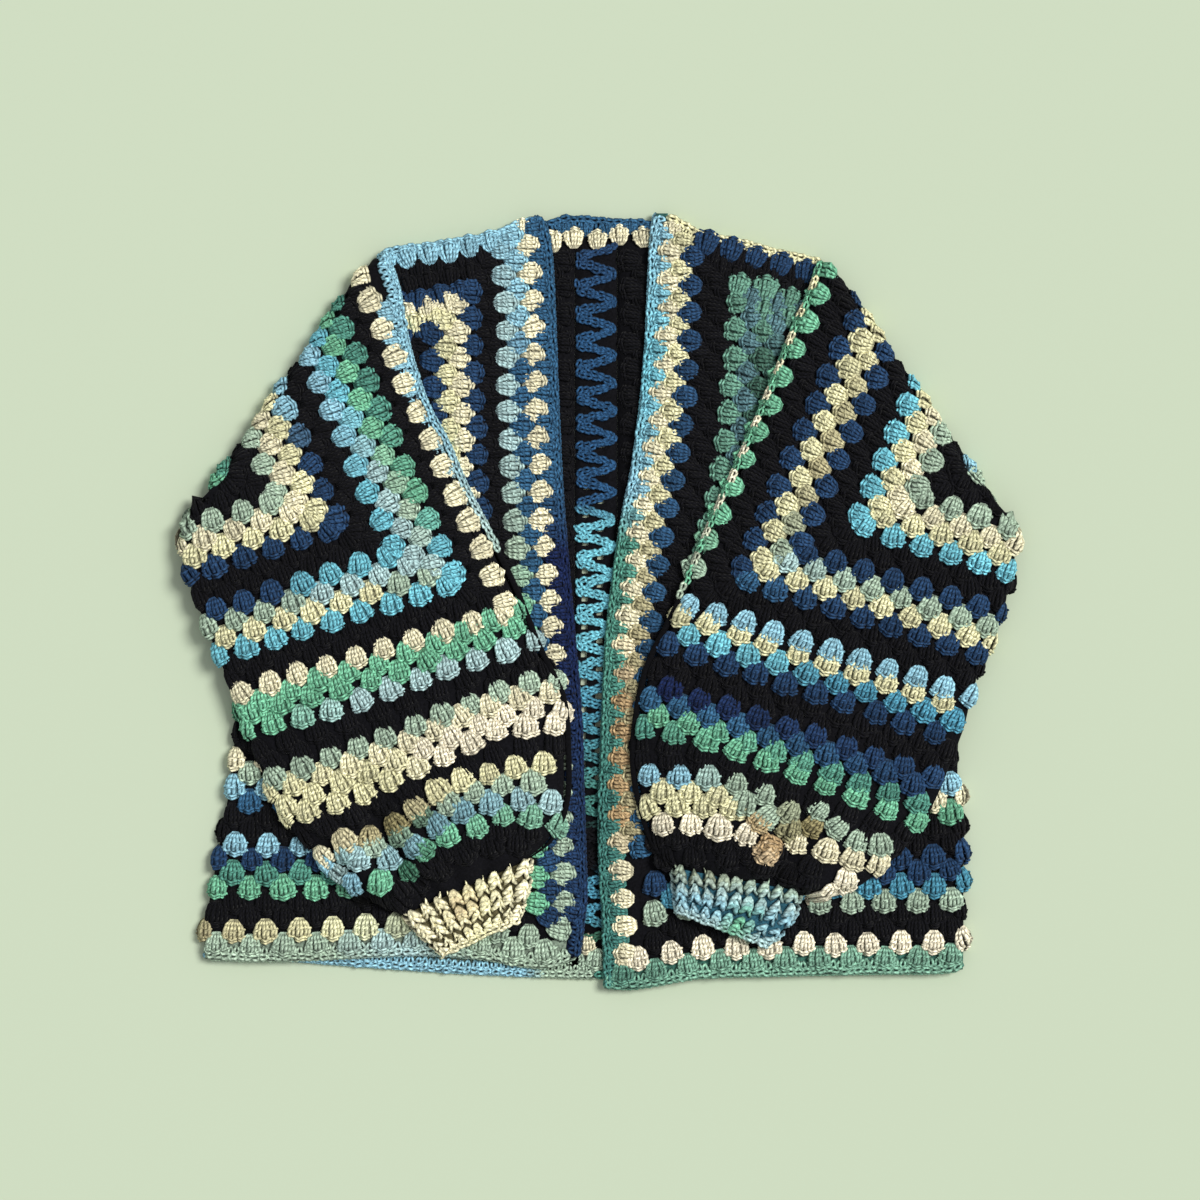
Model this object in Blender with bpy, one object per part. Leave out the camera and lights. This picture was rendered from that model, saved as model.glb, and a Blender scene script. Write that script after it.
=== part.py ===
"""A crochet cardigan laid flat, face up, with both sleeves folded forward over the fronts.

Two crocheted hexagons make it. Each is folded at the side into a half front and a half back, and
a flattened tube, the sleeve, turns over at the armhole and lies on the front. Crocheted seams join
the layers at the shoulders and along the tops of the sleeves, a lacy strip joins the half backs,
and edgings and ribbed cuffs finish the edges.

Lengths are in metres. X runs across the garment, Y from hem to neck and Z up from the table, and
the origin is under the middle of the garment. "Left" is the side at -X.
"""

import math
from collections import namedtuple

import bmesh
import bpy
from mathutils import Vector

# Cloth, and the gaps that keep its pieces and layers apart
WALL = 0.004
LAYER_GAP = 0.0005
SEAM_GAP = 0.0003

# Heights of the four layers: back, front, lower and upper layer of the sleeve
FRONT_LOW = WALL + LAYER_GAP
BODY_TOP = FRONT_LOW + WALL
SLEEVE_LOW = BODY_TOP + LAYER_GAP
FOLD_RADIUS = WALL + LAYER_GAP / 2
SLIT_RADIUS = LAYER_GAP / 2
HINGE_HEIGHT = BODY_TOP + LAYER_GAP / 2

# Widths of the trimmings
FRONT_BAND_WIDTH = 0.0104
SEAM_WIDTH = 0.005
TRIM_CHAMFER = 0.001
HEM_WIDTH = 0.018

# The strip that joins the half backs: its edges, and its two columns of holes
JOIN_LEFT_X = -0.0189
JOIN_RIGHT_X = 0.0122
JOIN_LOW_Y = -0.2605
HOLE_WIDTH = 0.0045
HOLE_HEIGHT = 0.006
HOLE_PITCH = 0.0207
RIGHT_HOLES_OFFSET = 0.0185
LEFT_HOLES_OFFSET = 0.0073
FIRST_HOLE_Y = 0.199
HOLE_LEAN = 0.012
RIGHT_HOLES = range(0, 17)
LEFT_HOLES = range(5, 16)

# Ribs of the cuffs
CUFF_RIBS = 9
RIB_HEIGHT = 0.0016

# How finely the shapes are divided
FOLD_STEPS = 4
HINGE_STEPS = 4
SIDE_ROWS = 10
ARMHOLE_ROWS = 4
SHOULDER_COLUMNS = 6
NECK_COLUMNS = 2
PANEL_COLUMNS = SHOULDER_COLUMNS + NECK_COLUMNS
SLEEVE_COLUMNS = 16
SLEEVE_RINGS = 17
RIB_COLUMNS = 4
CUFF_RINGS = 3
CURVE_STEPS = 8

# The underarm end of the side fold stops this far short of the sleeve's own end
UNDERARM_CLEARANCE = 0.004

Point = namedtuple("Point", "x y")

# A ring of the sleeve, from the underarm fold to the seam, and how far its crown stands up
Ring = namedtuple("Ring", "fold_x fold_y seam_x seam_y puff")

# A ridge, or a trough where its height is negative: its two ends along the sleeve (0 to 1) and
# across it from the underarm fold (0 to 1), its half width as a share of the sleeve's width
Crease = namedtuple("Crease", "start start_across end end_across spread height")

LEFT_SLEEVE_RINGS = (
    Ring(-0.2838, 0.0766, -0.1573, 0.2557, 0.000),
    Ring(-0.2956, 0.0736, -0.1491, 0.2335, 0.000),
    Ring(-0.3023, 0.0648, -0.1454, 0.2113, 0.001),
    Ring(-0.3075, 0.0529, -0.1402, 0.1854, 0.002),
    Ring(-0.3090, 0.0396, -0.1284, 0.1484, 0.003),
    Ring(-0.3060, 0.0174, -0.1121, 0.1173, 0.003),
    Ring(-0.2971, -0.0085, -0.0973, 0.0832, 0.004),
    Ring(-0.2831, -0.0440, -0.0766, 0.0440, 0.004),
    Ring(-0.2712, -0.0714, -0.0588, 0.0078, 0.005),
    Ring(-0.2609, -0.0995, -0.0425, -0.0329, 0.006),
    Ring(-0.2505, -0.1291, -0.0248, -0.0699, 0.008),
    Ring(-0.2349, -0.1587, -0.0211, -0.1069, 0.011),
    Ring(-0.2091, -0.1906, -0.0218, -0.1476, 0.014),
    Ring(-0.1839, -0.2142, -0.0329, -0.1758, 0.012),
    Ring(-0.1454, -0.2320, -0.0522, -0.1906, 0.003),
)
RIGHT_SLEEVE_RINGS = (
    Ring(0.2886, 0.0636, 0.1599, 0.2483, 0.000),
    Ring(0.3008, 0.0625, 0.1536, 0.2283, 0.000),
    Ring(0.3060, 0.0544, 0.1454, 0.2105, 0.001),
    Ring(0.3094, 0.0420, 0.1365, 0.1891, 0.002),
    Ring(0.3053, 0.0240, 0.1262, 0.1632, 0.003),
    Ring(0.3008, 0.0063, 0.1121, 0.1299, 0.003),
    Ring(0.2942, -0.0159, 0.0958, 0.0929, 0.004),
    Ring(0.2845, -0.0433, 0.0788, 0.0559, 0.004),
    Ring(0.2757, -0.0677, 0.0625, 0.0166, 0.005),
    Ring(0.2705, -0.0921, 0.0470, -0.0159, 0.006),
    Ring(0.2609, -0.1180, 0.0315, -0.0477, 0.007),
    Ring(0.2498, -0.1454, 0.0233, -0.0847, 0.009),
    Ring(0.2350, -0.1728, 0.0211, -0.1217, 0.012),
    Ring(0.2105, -0.1980, 0.0270, -0.1550, 0.014),
    Ring(0.1809, -0.2165, 0.0381, -0.1832, 0.011),
    Ring(0.1469, -0.2142, 0.0544, -0.1972, 0.003),
)
LEFT_CREASES = (
    Crease(1.02, 0.26, 0.70, 0.30, 0.07, -0.013),
    Crease(1.00, 0.50, 0.80, 0.47, 0.06, -0.005),
    Crease(1.00, 0.72, 0.84, 0.66, 0.05, -0.005),
    Crease(0.95, 0.10, 0.80, 0.14, 0.09, 0.005),
    Crease(0.62, 0.05, 0.50, 0.55, 0.10, -0.002),
)
RIGHT_CREASES = (
    Crease(1.02, 0.34, 0.74, 0.42, 0.07, -0.013),
    Crease(1.00, 0.62, 0.82, 0.60, 0.06, -0.005),
    Crease(1.00, 0.82, 0.84, 0.78, 0.05, -0.004),
    Crease(0.96, 0.20, 0.86, 0.10, 0.10, 0.006),
    Crease(0.60, 0.04, 0.47, 0.50, 0.10, -0.002),
)

# The cuffs, from the sleeve down: the outer edge and the edge next to the front opening
LEFT_CUFF_RINGS = (
    Ring(-0.1454, -0.2320, -0.0522, -0.1906, 0.0),
    Ring(-0.1373, -0.2416, -0.0529, -0.2054, 0.0),
    Ring(-0.1277, -0.2520, -0.0559, -0.2202, 0.0),
    Ring(-0.1180, -0.2609, -0.0596, -0.2335, 0.0),
)
RIGHT_CUFF_RINGS = (
    Ring(0.1469, -0.2142, 0.0544, -0.1972, 0.0),
    Ring(0.1454, -0.2261, 0.0544, -0.2083, 0.0),
    Ring(0.1388, -0.2401, 0.0551, -0.2187, 0.0),
    Ring(0.1240, -0.2542, 0.0559, -0.2276, 0.0),
)

# Outline of the body, each line from hem to neck or from the side to the middle
LEFT_SIDE = (
    Point(-0.2942, -0.2560),
    Point(-0.2905, -0.2216),
    Point(-0.2838, -0.1846),
    Point(-0.2771, -0.1476),
    Point(-0.2727, -0.1106),
    Point(-0.2705, -0.0736),
    Point(-0.2801, -0.0366),
    Point(-0.2919, 0.0004),
    Point(-0.2971, 0.0300),
    Point(-0.2934, 0.0559),
)
RIGHT_SIDE = (
    Point(0.2697, -0.2600),
    Point(0.2697, -0.2253),
    Point(0.2690, -0.1846),
    Point(0.2660, -0.1476),
    Point(0.2653, -0.1217),
    Point(0.2675, -0.0884),
    Point(0.2764, -0.0514),
    Point(0.2882, -0.0144),
    Point(0.2971, 0.0226),
    Point(0.2976, 0.0448),
)
LEFT_OPENING = (
    Point(-0.0159, -0.2638),
    Point(-0.0107, -0.2216),
    Point(-0.0115, -0.1846),
    Point(-0.0129, -0.1402),
    Point(-0.0144, -0.0884),
    Point(-0.0204, -0.0144),
    Point(-0.0278, 0.0744),
    Point(-0.0322, 0.1632),
    Point(-0.0337, 0.2076),
    Point(-0.0366, 0.2594),
    Point(-0.0425, 0.2845),
)
RIGHT_OPENING = (
    Point(0.0033, -0.2868),
    Point(0.0019, -0.2401),
    Point(-0.0004, -0.1994),
    Point(-0.0011, -0.1587),
    Point(0.0019, -0.0699),
    Point(0.0048, -0.0218),
    Point(0.0115, 0.0329),
    Point(0.0174, 0.0699),
    Point(0.0248, 0.1077),
    Point(0.0329, 0.1817),
    Point(0.0366, 0.2594),
    Point(0.0396, 0.2868),
)
LEFT_FRONT_HEM = (
    Point(-0.2900, -0.2655),
    Point(-0.2446, -0.2668),
    Point(-0.2002, -0.2653),
    Point(-0.1336, -0.2623),
    Point(-0.0892, -0.2653),
    Point(-0.0448, -0.2719),
    Point(-0.0159, -0.2638),
)
RIGHT_FRONT_HEM = (
    Point(0.2650, -0.2735),
    Point(0.2512, -0.2756),
    Point(0.1846, -0.2764),
    Point(0.1180, -0.2779),
    Point(0.0736, -0.2794),
    Point(0.0292, -0.2868),
    Point(0.0033, -0.2868),
)
BACK_MIDDLE_X = -0.0034
LEFT_BACK_HEM = (
    Point(-0.2900, -0.2655),
    Point(-0.2446, -0.2660),
    Point(-0.1854, -0.2705),
    Point(-0.1114, -0.2756),
    Point(-0.0300, -0.2794),
    Point(BACK_MIDDLE_X, -0.2800),
)
RIGHT_BACK_HEM = (
    Point(0.2650, -0.2735),
    Point(0.1846, -0.2735),
    Point(0.0736, -0.2770),
    Point(BACK_MIDDLE_X, -0.2800),
)
LEFT_SHOULDER = (
    Point(-0.1573, 0.2601),
    Point(-0.1484, 0.2620),
    Point(-0.1262, 0.2645),
    Point(-0.1040, 0.2675),
    Point(-0.0818, 0.2720),
    Point(-0.0670, 0.2779),
    Point(-0.0533, 0.2823),
)
RIGHT_SHOULDER = (
    Point(0.1595, 0.2530),
    Point(0.1328, 0.2590),
    Point(0.1032, 0.2668),
    Point(0.0781, 0.2720),
    Point(0.0662, 0.2771),
    Point(0.0503, 0.2860),
)
NECK_LOW_Y = 0.2727
NECK_EDGE = (
    Point(-0.0480, 0.2790),
    Point(-0.0411, 0.2801),
    Point(-0.0300, 0.2838),
    Point(-0.0189, 0.2845),
    Point(0.0144, 0.2823),
    Point(0.0292, 0.2816),
    Point(0.0381, 0.2801),
    Point(0.0450, 0.2795),
)

Side = namedtuple(
    "Side", "name out rings creases cuff fold opening front_hem back_hem shoulder join_x"
)
LEFT = Side(
    "left", -1, LEFT_SLEEVE_RINGS, LEFT_CREASES, LEFT_CUFF_RINGS, LEFT_SIDE, LEFT_OPENING,
    LEFT_FRONT_HEM, LEFT_BACK_HEM, LEFT_SHOULDER, JOIN_LEFT_X,
)
RIGHT = Side(
    "right", 1, RIGHT_SLEEVE_RINGS, RIGHT_CREASES, RIGHT_CUFF_RINGS, RIGHT_SIDE, RIGHT_OPENING,
    RIGHT_FRONT_HEM, RIGHT_BACK_HEM, RIGHT_SHOULDER, JOIN_RIGHT_X,
)

# Yarn colours of the pieces, and how matt wool is
YARN_ROUGHNESS = 0.85
COLOURS = {
    "body": (0.030, 0.040, 0.065),
    "join": (0.045, 0.250, 0.350),
    "sleeve": (0.150, 0.300, 0.300),
    "cuff": (0.600, 0.560, 0.330),
    "left_front_band": (0.020, 0.060, 0.160),
    "right_front_band": (0.080, 0.330, 0.280),
    "neck_band": (0.030, 0.150, 0.290),
    "left_hem": (0.290, 0.450, 0.400),
    "right_hem": (0.100, 0.380, 0.300),
    "left_seam": (0.140, 0.420, 0.560),
    "right_seam": (0.700, 0.620, 0.400),
}


# ---------------------------------------------------------------- curves and surfaces

def smooth_row(rows, position):
    """A table row read between its neighbours on a Catmull-Rom curve; position runs from 0 to 1."""
    place = min(max(position, 0.0), 1.0) * (len(rows) - 1)
    index = min(int(place), len(rows) - 2)
    t = place - index
    before = rows[max(index - 1, 0)]
    after = rows[min(index + 2, len(rows) - 1)]
    values = []
    for p0, p1, p2, p3 in zip(before, rows[index], rows[index + 1], after):
        slope_in = (p2 - p0) / 2
        slope_out = (p3 - p1) / 2
        values.append(
            p1 * (2 * t**3 - 3 * t**2 + 1) + slope_in * (t**3 - 2 * t**2 + t)
            + p2 * (3 * t**2 - 2 * t**3) + slope_out * (t**3 - t**2)
        )
    return type(rows[0])(*values)


def smooth_line(points):
    """A dense run of points on the smooth curve through a short table."""
    steps = (len(points) - 1) * CURVE_STEPS
    return [Vector(smooth_row(points, step / steps)) for step in range(steps + 1)]


def at_share(line, share):
    """The point at a share, 0 to 1, of a line's length."""
    lengths = [(b - a).length for a, b in zip(line, line[1:])]
    left = share * sum(lengths)
    for start, end, length in zip(line, line[1:], lengths):
        if left <= length:
            return start.lerp(end, left / length)
        left -= length
    return line[-1].copy()


def shifted(points, across=0.0, up=0.0):
    """A table of points moved as a whole."""
    return [Point(point.x + across, point.y + up) for point in points]


def patch(low_row, top_row, first_column, last_column, row, column):
    """A point inside four edges of corners, so that it follows all of them (a Coons patch)."""
    u = column / (len(low_row) - 1)
    v = row / (len(first_column) - 1)
    ruled = low_row[column].lerp(top_row[column], v) + first_column[row].lerp(last_column[row], u)
    corners = low_row[0].lerp(low_row[-1], u).lerp(top_row[0].lerp(top_row[-1], u), v)
    return ruled - corners


# ---------------------------------------------------------------- solids

def yarn(colour_name):
    """The material of a piece: matt wool of one colour."""
    name = f"wool_{colour_name}"
    if name in bpy.data.materials:
        return bpy.data.materials[name]
    material = bpy.data.materials.new(name)
    material.use_nodes = True
    shader = material.node_tree.nodes["Principled BSDF"]
    shader.inputs["Base Color"].default_value = (*COLOURS[colour_name], 1.0)
    shader.inputs["Roughness"].default_value = YARN_ROUGHNESS
    shader.inputs["Metallic"].default_value = 0.0
    material.diffuse_color = (*COLOURS[colour_name], 1.0)
    return material


def add_object(name, mesh_maker, colour_name):
    """Link a finished bmesh to the scene as one closed object with its faces pointing out."""
    loose = [vert for vert in mesh_maker.verts if not vert.link_faces]
    bmesh.ops.delete(mesh_maker, geom=loose, context="VERTS")
    bmesh.ops.recalc_face_normals(mesh_maker, faces=mesh_maker.faces)
    if mesh_maker.calc_volume(signed=True) < 0:
        bmesh.ops.reverse_faces(mesh_maker, faces=mesh_maker.faces)
    mesh = bpy.data.meshes.new(name)
    mesh_maker.to_mesh(mesh)
    mesh_maker.free()
    mesh.materials.append(yarn(colour_name))
    mesh.shade_smooth()
    mesh.set_sharp_from_angle(angle=math.radians(50))
    piece = bpy.data.objects.new(name, mesh)
    bpy.context.scene.collection.objects.link(piece)
    return piece


def cloth(name, outer, inner, colour_name, absent=(), closed=False):
    """A cloth wall between two grids of points.

    Cells listed in absent, as (row, column), are left out, and their edges are closed by walls.
    In a closed grid the last column joins the first, as in a tube.
    """
    maker = bmesh.new()
    faces_out = [[maker.verts.new(point) for point in row] for row in outer]
    faces_in = [[maker.verts.new(point) for point in row] for row in inner]
    row_count = len(outer) - 1
    columns = len(outer[0]) if closed else len(outer[0]) - 1
    points = len(outer[0])

    def present(row, column):
        if closed:
            column %= columns
        return 0 <= row < row_count and 0 <= column < columns and (row, column) not in absent

    for row in range(row_count):
        for column in range(columns):
            if not present(row, column):
                continue
            following = (column + 1) % points
            corners = ((row, column), (row, following), (row + 1, following), (row + 1, column))
            maker.faces.new([faces_out[r][c] for r, c in corners])
            maker.faces.new([faces_in[r][c] for r, c in reversed(corners)])
            beside = (
                ((row - 1, column), corners[0], corners[1]),
                ((row, column + 1), corners[1], corners[2]),
                ((row + 1, column), corners[2], corners[3]),
                ((row, column - 1), corners[3], corners[0]),
            )
            for neighbour, start, end in beside:
                if not present(*neighbour):
                    maker.faces.new([
                        faces_out[end[0]][end[1]], faces_out[start[0]][start[1]],
                        faces_in[start[0]][start[1]], faces_in[end[0]][end[1]],
                    ])
    return add_object(name, maker, colour_name)


def trim(name, inner_edge, outer_edge, low, high, colour_name):
    """A narrow trimming between two edges: flat underneath, its upper corners taken off."""
    maker = bmesh.new()
    loops = []
    for near, far in zip(inner_edge, outer_edge):
        slope = (far - near).normalized() * TRIM_CHAMFER
        section = (
            (near, low), (far, low), (far, high - TRIM_CHAMFER),
            (far - slope, high), (near + slope, high), (near, high - TRIM_CHAMFER),
        )
        loops.append([maker.verts.new((place.x, place.y, z)) for place, z in section])
    for first, second in zip(loops, loops[1:]):
        for index in range(len(first)):
            after = (index + 1) % len(first)
            maker.faces.new((first[index], first[after], second[after], second[index]))
    maker.faces.new(loops[0])
    maker.faces.new(loops[-1])
    return add_object(name, maker, colour_name)


# ---------------------------------------------------------------- body

def armhole_line(side):
    """The line that the sleeve turns over on: its underarm end, its direction and its length."""
    ring = side.rings[0]
    underarm = Vector((ring.fold_x, ring.fold_y))
    tip = Vector((ring.seam_x, ring.seam_y))
    span = tip - underarm
    return underarm, span.normalized(), span.length - SEAM_WIDTH - SEAM_GAP


def body_edges(side):
    """The outer edge of a half body without its fold: side fold line, then armhole."""
    underarm, along, length = armhole_line(side)
    inward = Vector((along.y, -along.x)) * -side.out
    start = underarm + inward * SEAM_GAP - along * UNDERARM_CLEARANCE
    fold = shifted(side.fold, across=-side.out * FOLD_RADIUS)
    fold[0] = Point(fold[0].x, side.back_hem[0].y + HEM_WIDTH + SEAM_GAP)
    side_line = smooth_line([*fold, Point(start.x, start.y)])
    armhole = [start, underarm + inward * SEAM_GAP + along * length]
    return side_line, armhole


def body_patch(side, low_row, top_row, inner_column):
    """Rows of points of one layer of a half body, from the side to the middle."""
    side_line, armhole = body_edges(side)
    rows = SIDE_ROWS + ARMHOLE_ROWS
    outer_column = [at_share(side_line, row / SIDE_ROWS) for row in range(SIDE_ROWS)]
    outer_column += [at_share(armhole, row / ARMHOLE_ROWS) for row in range(ARMHOLE_ROWS + 1)]
    if len(inner_column) == 2:
        inner_column = [at_share(inner_column, row / rows) for row in range(rows + 1)]
    return [
        [
            patch(low_row, top_row, outer_column, inner_column, row, column)
            for column in range(PANEL_COLUMNS + 1)
        ]
        for row in range(rows + 1)
    ]


def fold_walls(edge_point, out, turn_steps):
    """Outer and inner points of the side fold, from the back layer round to the front."""
    outer, inner = [], []
    for step in range(1, turn_steps):
        angle = math.pi * step / turn_steps
        for points, radius in ((outer, FOLD_RADIUS), (inner, SLIT_RADIUS)):
            points.append(Vector((
                edge_point.x + out * radius * math.sin(angle),
                edge_point.y,
                FOLD_RADIUS - radius * math.cos(angle),
            )))
    return outer, inner


def folded_cloth(name, side, back, front, colour_name, open_above=None):
    """A half body or its hem: the back layer, the side fold and the front layer in one wall."""
    outer, inner = [], []
    for back_row, front_row in zip(back, front):
        fold_out, fold_in = fold_walls(back_row[0], side.out, FOLD_STEPS)
        under = [Vector((p.x, p.y, 0.0)) for p in reversed(back_row)]
        over = [Vector((p.x, p.y, BODY_TOP)) for p in front_row]
        under_in = [Vector((p.x, p.y, WALL)) for p in reversed(back_row)]
        over_in = [Vector((p.x, p.y, FRONT_LOW)) for p in front_row]
        outer.append(under + fold_out + over)
        inner.append(under_in + fold_in + over_in)
    absent = set()
    if open_above is not None:
        first = len(back[0]) - 1
        for row in range(open_above, len(outer) - 1):
            absent |= {(row, first + step) for step in range(FOLD_STEPS)}
    return cloth(name, outer, inner, colour_name, absent)


def shoulder_row(side):
    """Corners of both layers' upper edge, from the armhole to the neck, under the shoulder seam."""
    _, armhole = body_edges(side)
    line = [armhole[-1], *smooth_line(shifted(side.shoulder[1:], up=-SEAM_WIDTH - SEAM_GAP))]
    return [at_share(line, column / SHOULDER_COLUMNS) for column in range(SHOULDER_COLUMNS + 1)]


def opening_line(side, low, high, across):
    """The front's edge between two heights, moved sideways by what is worked onto it."""
    line = smooth_line(shifted(side.opening, across=side.out * across))
    kept = [point for point in line if low < point.y < high]
    ends = []
    for y, near in ((low, kept[0]), (high, kept[-1])):
        ends.append(Vector((near.x, y)))
    return [ends[0], *kept, ends[1]]


def front_edge(side):
    """Points where the front's rows meet the band, from the upper edge of the hem to the neck."""
    low = side.front_hem[-1].y + HEM_WIDTH + SEAM_GAP
    high = shoulder_row(side)[-1].y
    line = opening_line(side, low, high, FRONT_BAND_WIDTH + SEAM_GAP)
    rows = SIDE_ROWS + ARMHOLE_ROWS
    return [at_share(line, row / rows) for row in range(rows + 1)]


def joining_row(side, table, middle):
    """Points where a layer of the body meets its hem, from the side fold to the middle."""
    side_line, _ = body_edges(side)
    lifted = shifted(table[1:-1], up=HEM_WIDTH + SEAM_GAP)
    line = smooth_line([Point(*side_line[0]), *lifted, Point(*middle)])
    return [at_share(line, column / PANEL_COLUMNS) for column in range(PANEL_COLUMNS + 1)]


def back_corner(side):
    """The lower corner of the half back at the joining strip."""
    return Vector((side.join_x + side.out * SEAM_GAP, side.back_hem[-1].y + HEM_WIDTH + SEAM_GAP))


def half_body(side):
    """Half front and half back, one cloth folded at the side."""
    shoulder = shoulder_row(side)
    front_inner = front_edge(side)
    front_top = [*shoulder[:-1], front_inner[-1]]
    for end in (SHOULDER_COLUMNS, SHOULDER_COLUMNS - 1)[:NECK_COLUMNS]:
        front_top.insert(end, front_top[end - 1].lerp(front_top[end], 1 / 2))

    back_low = back_corner(side)
    back_high = Vector((back_low.x, NECK_LOW_Y - SEAM_GAP))
    neck_corner = Vector((shoulder[-1].x - side.out * SEAM_WIDTH, back_high.y))
    back_top = [*shoulder, neck_corner, back_high]

    front_low = joining_row(side, side.front_hem, front_inner[0])
    back_row = joining_row(side, side.back_hem, back_low)
    front = body_patch(side, front_low, front_top, front_inner)
    back = body_patch(side, back_row, back_top, [back_low, back_high])
    return folded_cloth(f"{side.name}_body", side, back, front, "body", open_above=SIDE_ROWS)


def hem(side):
    """The crocheted edging of the lower edge, round the side from front to back."""
    back_upper = joining_row(side, side.back_hem, back_corner(side))
    front_upper = joining_row(side, side.front_hem, front_edge(side)[0])
    last = back_upper[-1] - back_upper[-2]
    to_middle = BACK_MIDDLE_X + side.out * SEAM_GAP / 2 - back_upper[-1].x
    back_upper[-1] += last * (to_middle / last.x)
    front_end = side.opening[0].x + side.out * (FRONT_BAND_WIDTH + SEAM_GAP)
    layers = []
    for table, upper, end_x in (
        (side.back_hem, back_upper, back_upper[-1].x),
        (side.front_hem, front_upper, front_end),
    ):
        line = smooth_line([*table[:-1], Point(end_x, table[-1].y)])
        lower = [at_share(line, part / PANEL_COLUMNS) for part in range(PANEL_COLUMNS + 1)]
        layers.append([lower, [point - Vector((0.0, SEAM_GAP)) for point in upper]])
    back, front = layers
    return folded_cloth(f"{side.name}_hem", side, back, front, f"{side.name}_hem")


def back_join():
    """The lacy strip between the half backs, its holes cut through."""
    high = NECK_LOW_Y - SEAM_GAP
    half_hole = HOLE_HEIGHT / 2
    lines = [high]
    holes = []
    for index in RIGHT_HOLES:
        centre = FIRST_HOLE_Y - index * HOLE_PITCH
        for offset, column, present in (
            (0.0, 3, True),
            (HOLE_PITCH / 2, 1, index in LEFT_HOLES),
        ):
            if present:
                holes.append((len(lines), column))
            lines.extend((centre - offset + half_hole, centre - offset - half_hole))
    lines.append(JOIN_LOW_Y)

    outer, inner = [], []
    for y in lines:
        lean = HOLE_LEAN * (y - FIRST_HOLE_Y)
        left_hole = JOIN_LEFT_X + LEFT_HOLES_OFFSET + lean
        right_hole = JOIN_LEFT_X + RIGHT_HOLES_OFFSET + lean
        columns = (
            JOIN_LEFT_X, left_hole, left_hole + HOLE_WIDTH,
            right_hole, right_hole + HOLE_WIDTH, JOIN_RIGHT_X,
        )
        outer.append([Vector((x, y, WALL)) for x in columns])
        inner.append([Vector((x, y, 0.0)) for x in columns])
    return cloth("back_join", outer, inner, "join", absent=set(holes))


# ---------------------------------------------------------------- sleeves and cuffs

def crease_height(creases, along, across):
    """How far the ridges and troughs move the sleeve's crown at one place."""
    total = 0.0
    for crease in creases:
        run = crease.end - crease.start
        t = (along - crease.start) / run
        if not 0.0 < t < 1.0:
            continue
        centre = crease.start_across + (crease.end_across - crease.start_across) * t
        fade = min(1.0, 3 * (1 - t)) * min(1.0, 1 - t / 2)
        total += crease.height * fade * math.exp(-(((across - centre) / crease.spread) ** 2))
    return total


def crown_height(side, along, across):
    """Height of the sleeve's upper layer above its flat state."""
    puff = smooth_row(side.rings, along).puff
    arch = math.sin(math.pi * across) ** 0.6 if 0.0 < across < 1.0 else 0.0
    shaped = puff * arch + crease_height(side.creases, along, across) * min(1.0, 2 * arch)
    return math.hypot(shaped, 0.0005) / 2 + shaped / 2 if arch else 0.0


def tube_section(width, columns, rise):
    """A flattened tube cut across: pairs of outer and inner points as (along the cut, height)."""
    top = 2 * FOLD_RADIUS
    flat = width - 2 * FOLD_RADIUS
    outer, inner = [], []

    def add_fold(centre, start_angle):
        for step in range(1, FOLD_STEPS):
            angle = start_angle - math.pi * step / FOLD_STEPS
            for points, radius in ((outer, FOLD_RADIUS), (inner, SLIT_RADIUS)):
                points.append((
                    centre + radius * math.cos(angle),
                    FOLD_RADIUS + radius * math.sin(angle),
                ))

    for column in range(columns + 1):
        across = column / columns
        outer.append((FOLD_RADIUS + flat * across, top + rise(across)))
        inner.append((FOLD_RADIUS + flat * across, top + rise(across) - WALL))
    add_fold(width - FOLD_RADIUS, math.pi / 2)
    for column in reversed(range(columns + 1)):
        across = column / columns
        outer.append((FOLD_RADIUS + flat * across, 0.0))
        inner.append((FOLD_RADIUS + flat * across, top + rise(across) - WALL - LAYER_GAP))
    add_fold(FOLD_RADIUS, -math.pi / 2)
    return outer, inner


def place_section(section, start, along, outward, turn):
    """A tube section stood on its line, turned over on the armhole by an angle."""
    placed = []
    for distance, height in section:
        arm = height + SLEEVE_LOW - HINGE_HEIGHT
        place = start + along * distance + outward * (arm * math.sin(turn))
        placed.append(Vector((place.x, place.y, HINGE_HEIGHT + arm * math.cos(turn))))
    return placed


def ring_line(ring):
    """Start, direction and width of the tube at a ring, without the seam at its far edge."""
    start = Vector((ring.fold_x, ring.fold_y))
    span = Vector((ring.seam_x, ring.seam_y)) - start
    return start, span.normalized(), span.length - SEAM_WIDTH - SEAM_GAP


def sleeve(side):
    """The sleeve: a flattened tube that turns over at the armhole and is gathered at the cuff."""
    underarm, along, width = ring_line(side.rings[0])
    outward = Vector((along.y, -along.x)) * side.out
    outer, inner = [], []
    flat_out, flat_in = tube_section(width, SLEEVE_COLUMNS, lambda across: 0.0)
    for step in reversed(range(1, HINGE_STEPS + 1)):
        turn = math.pi * step / HINGE_STEPS
        outer.append(place_section(flat_out, underarm, along, outward, turn))
        inner.append(place_section(flat_in, underarm, along, outward, turn))
    for index in range(SLEEVE_RINGS + 1):
        position = index / SLEEVE_RINGS
        start, direction, width = ring_line(smooth_row(side.rings, position))
        section_out, section_in = tube_section(
            width, SLEEVE_COLUMNS, lambda across: crown_height(side, position, across)
        )
        outer.append(place_section(section_out, start, direction, outward, 0.0))
        inner.append(place_section(section_in, start, direction, outward, 0.0))
    return cloth(f"{side.name}_sleeve", outer, inner, "sleeve", closed=True)


def rib_height(across):
    """Ribs run down the cuff: rounded ridges with narrow furrows between them."""
    return RIB_HEIGHT * abs(math.sin(math.pi * CUFF_RIBS * across))


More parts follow.
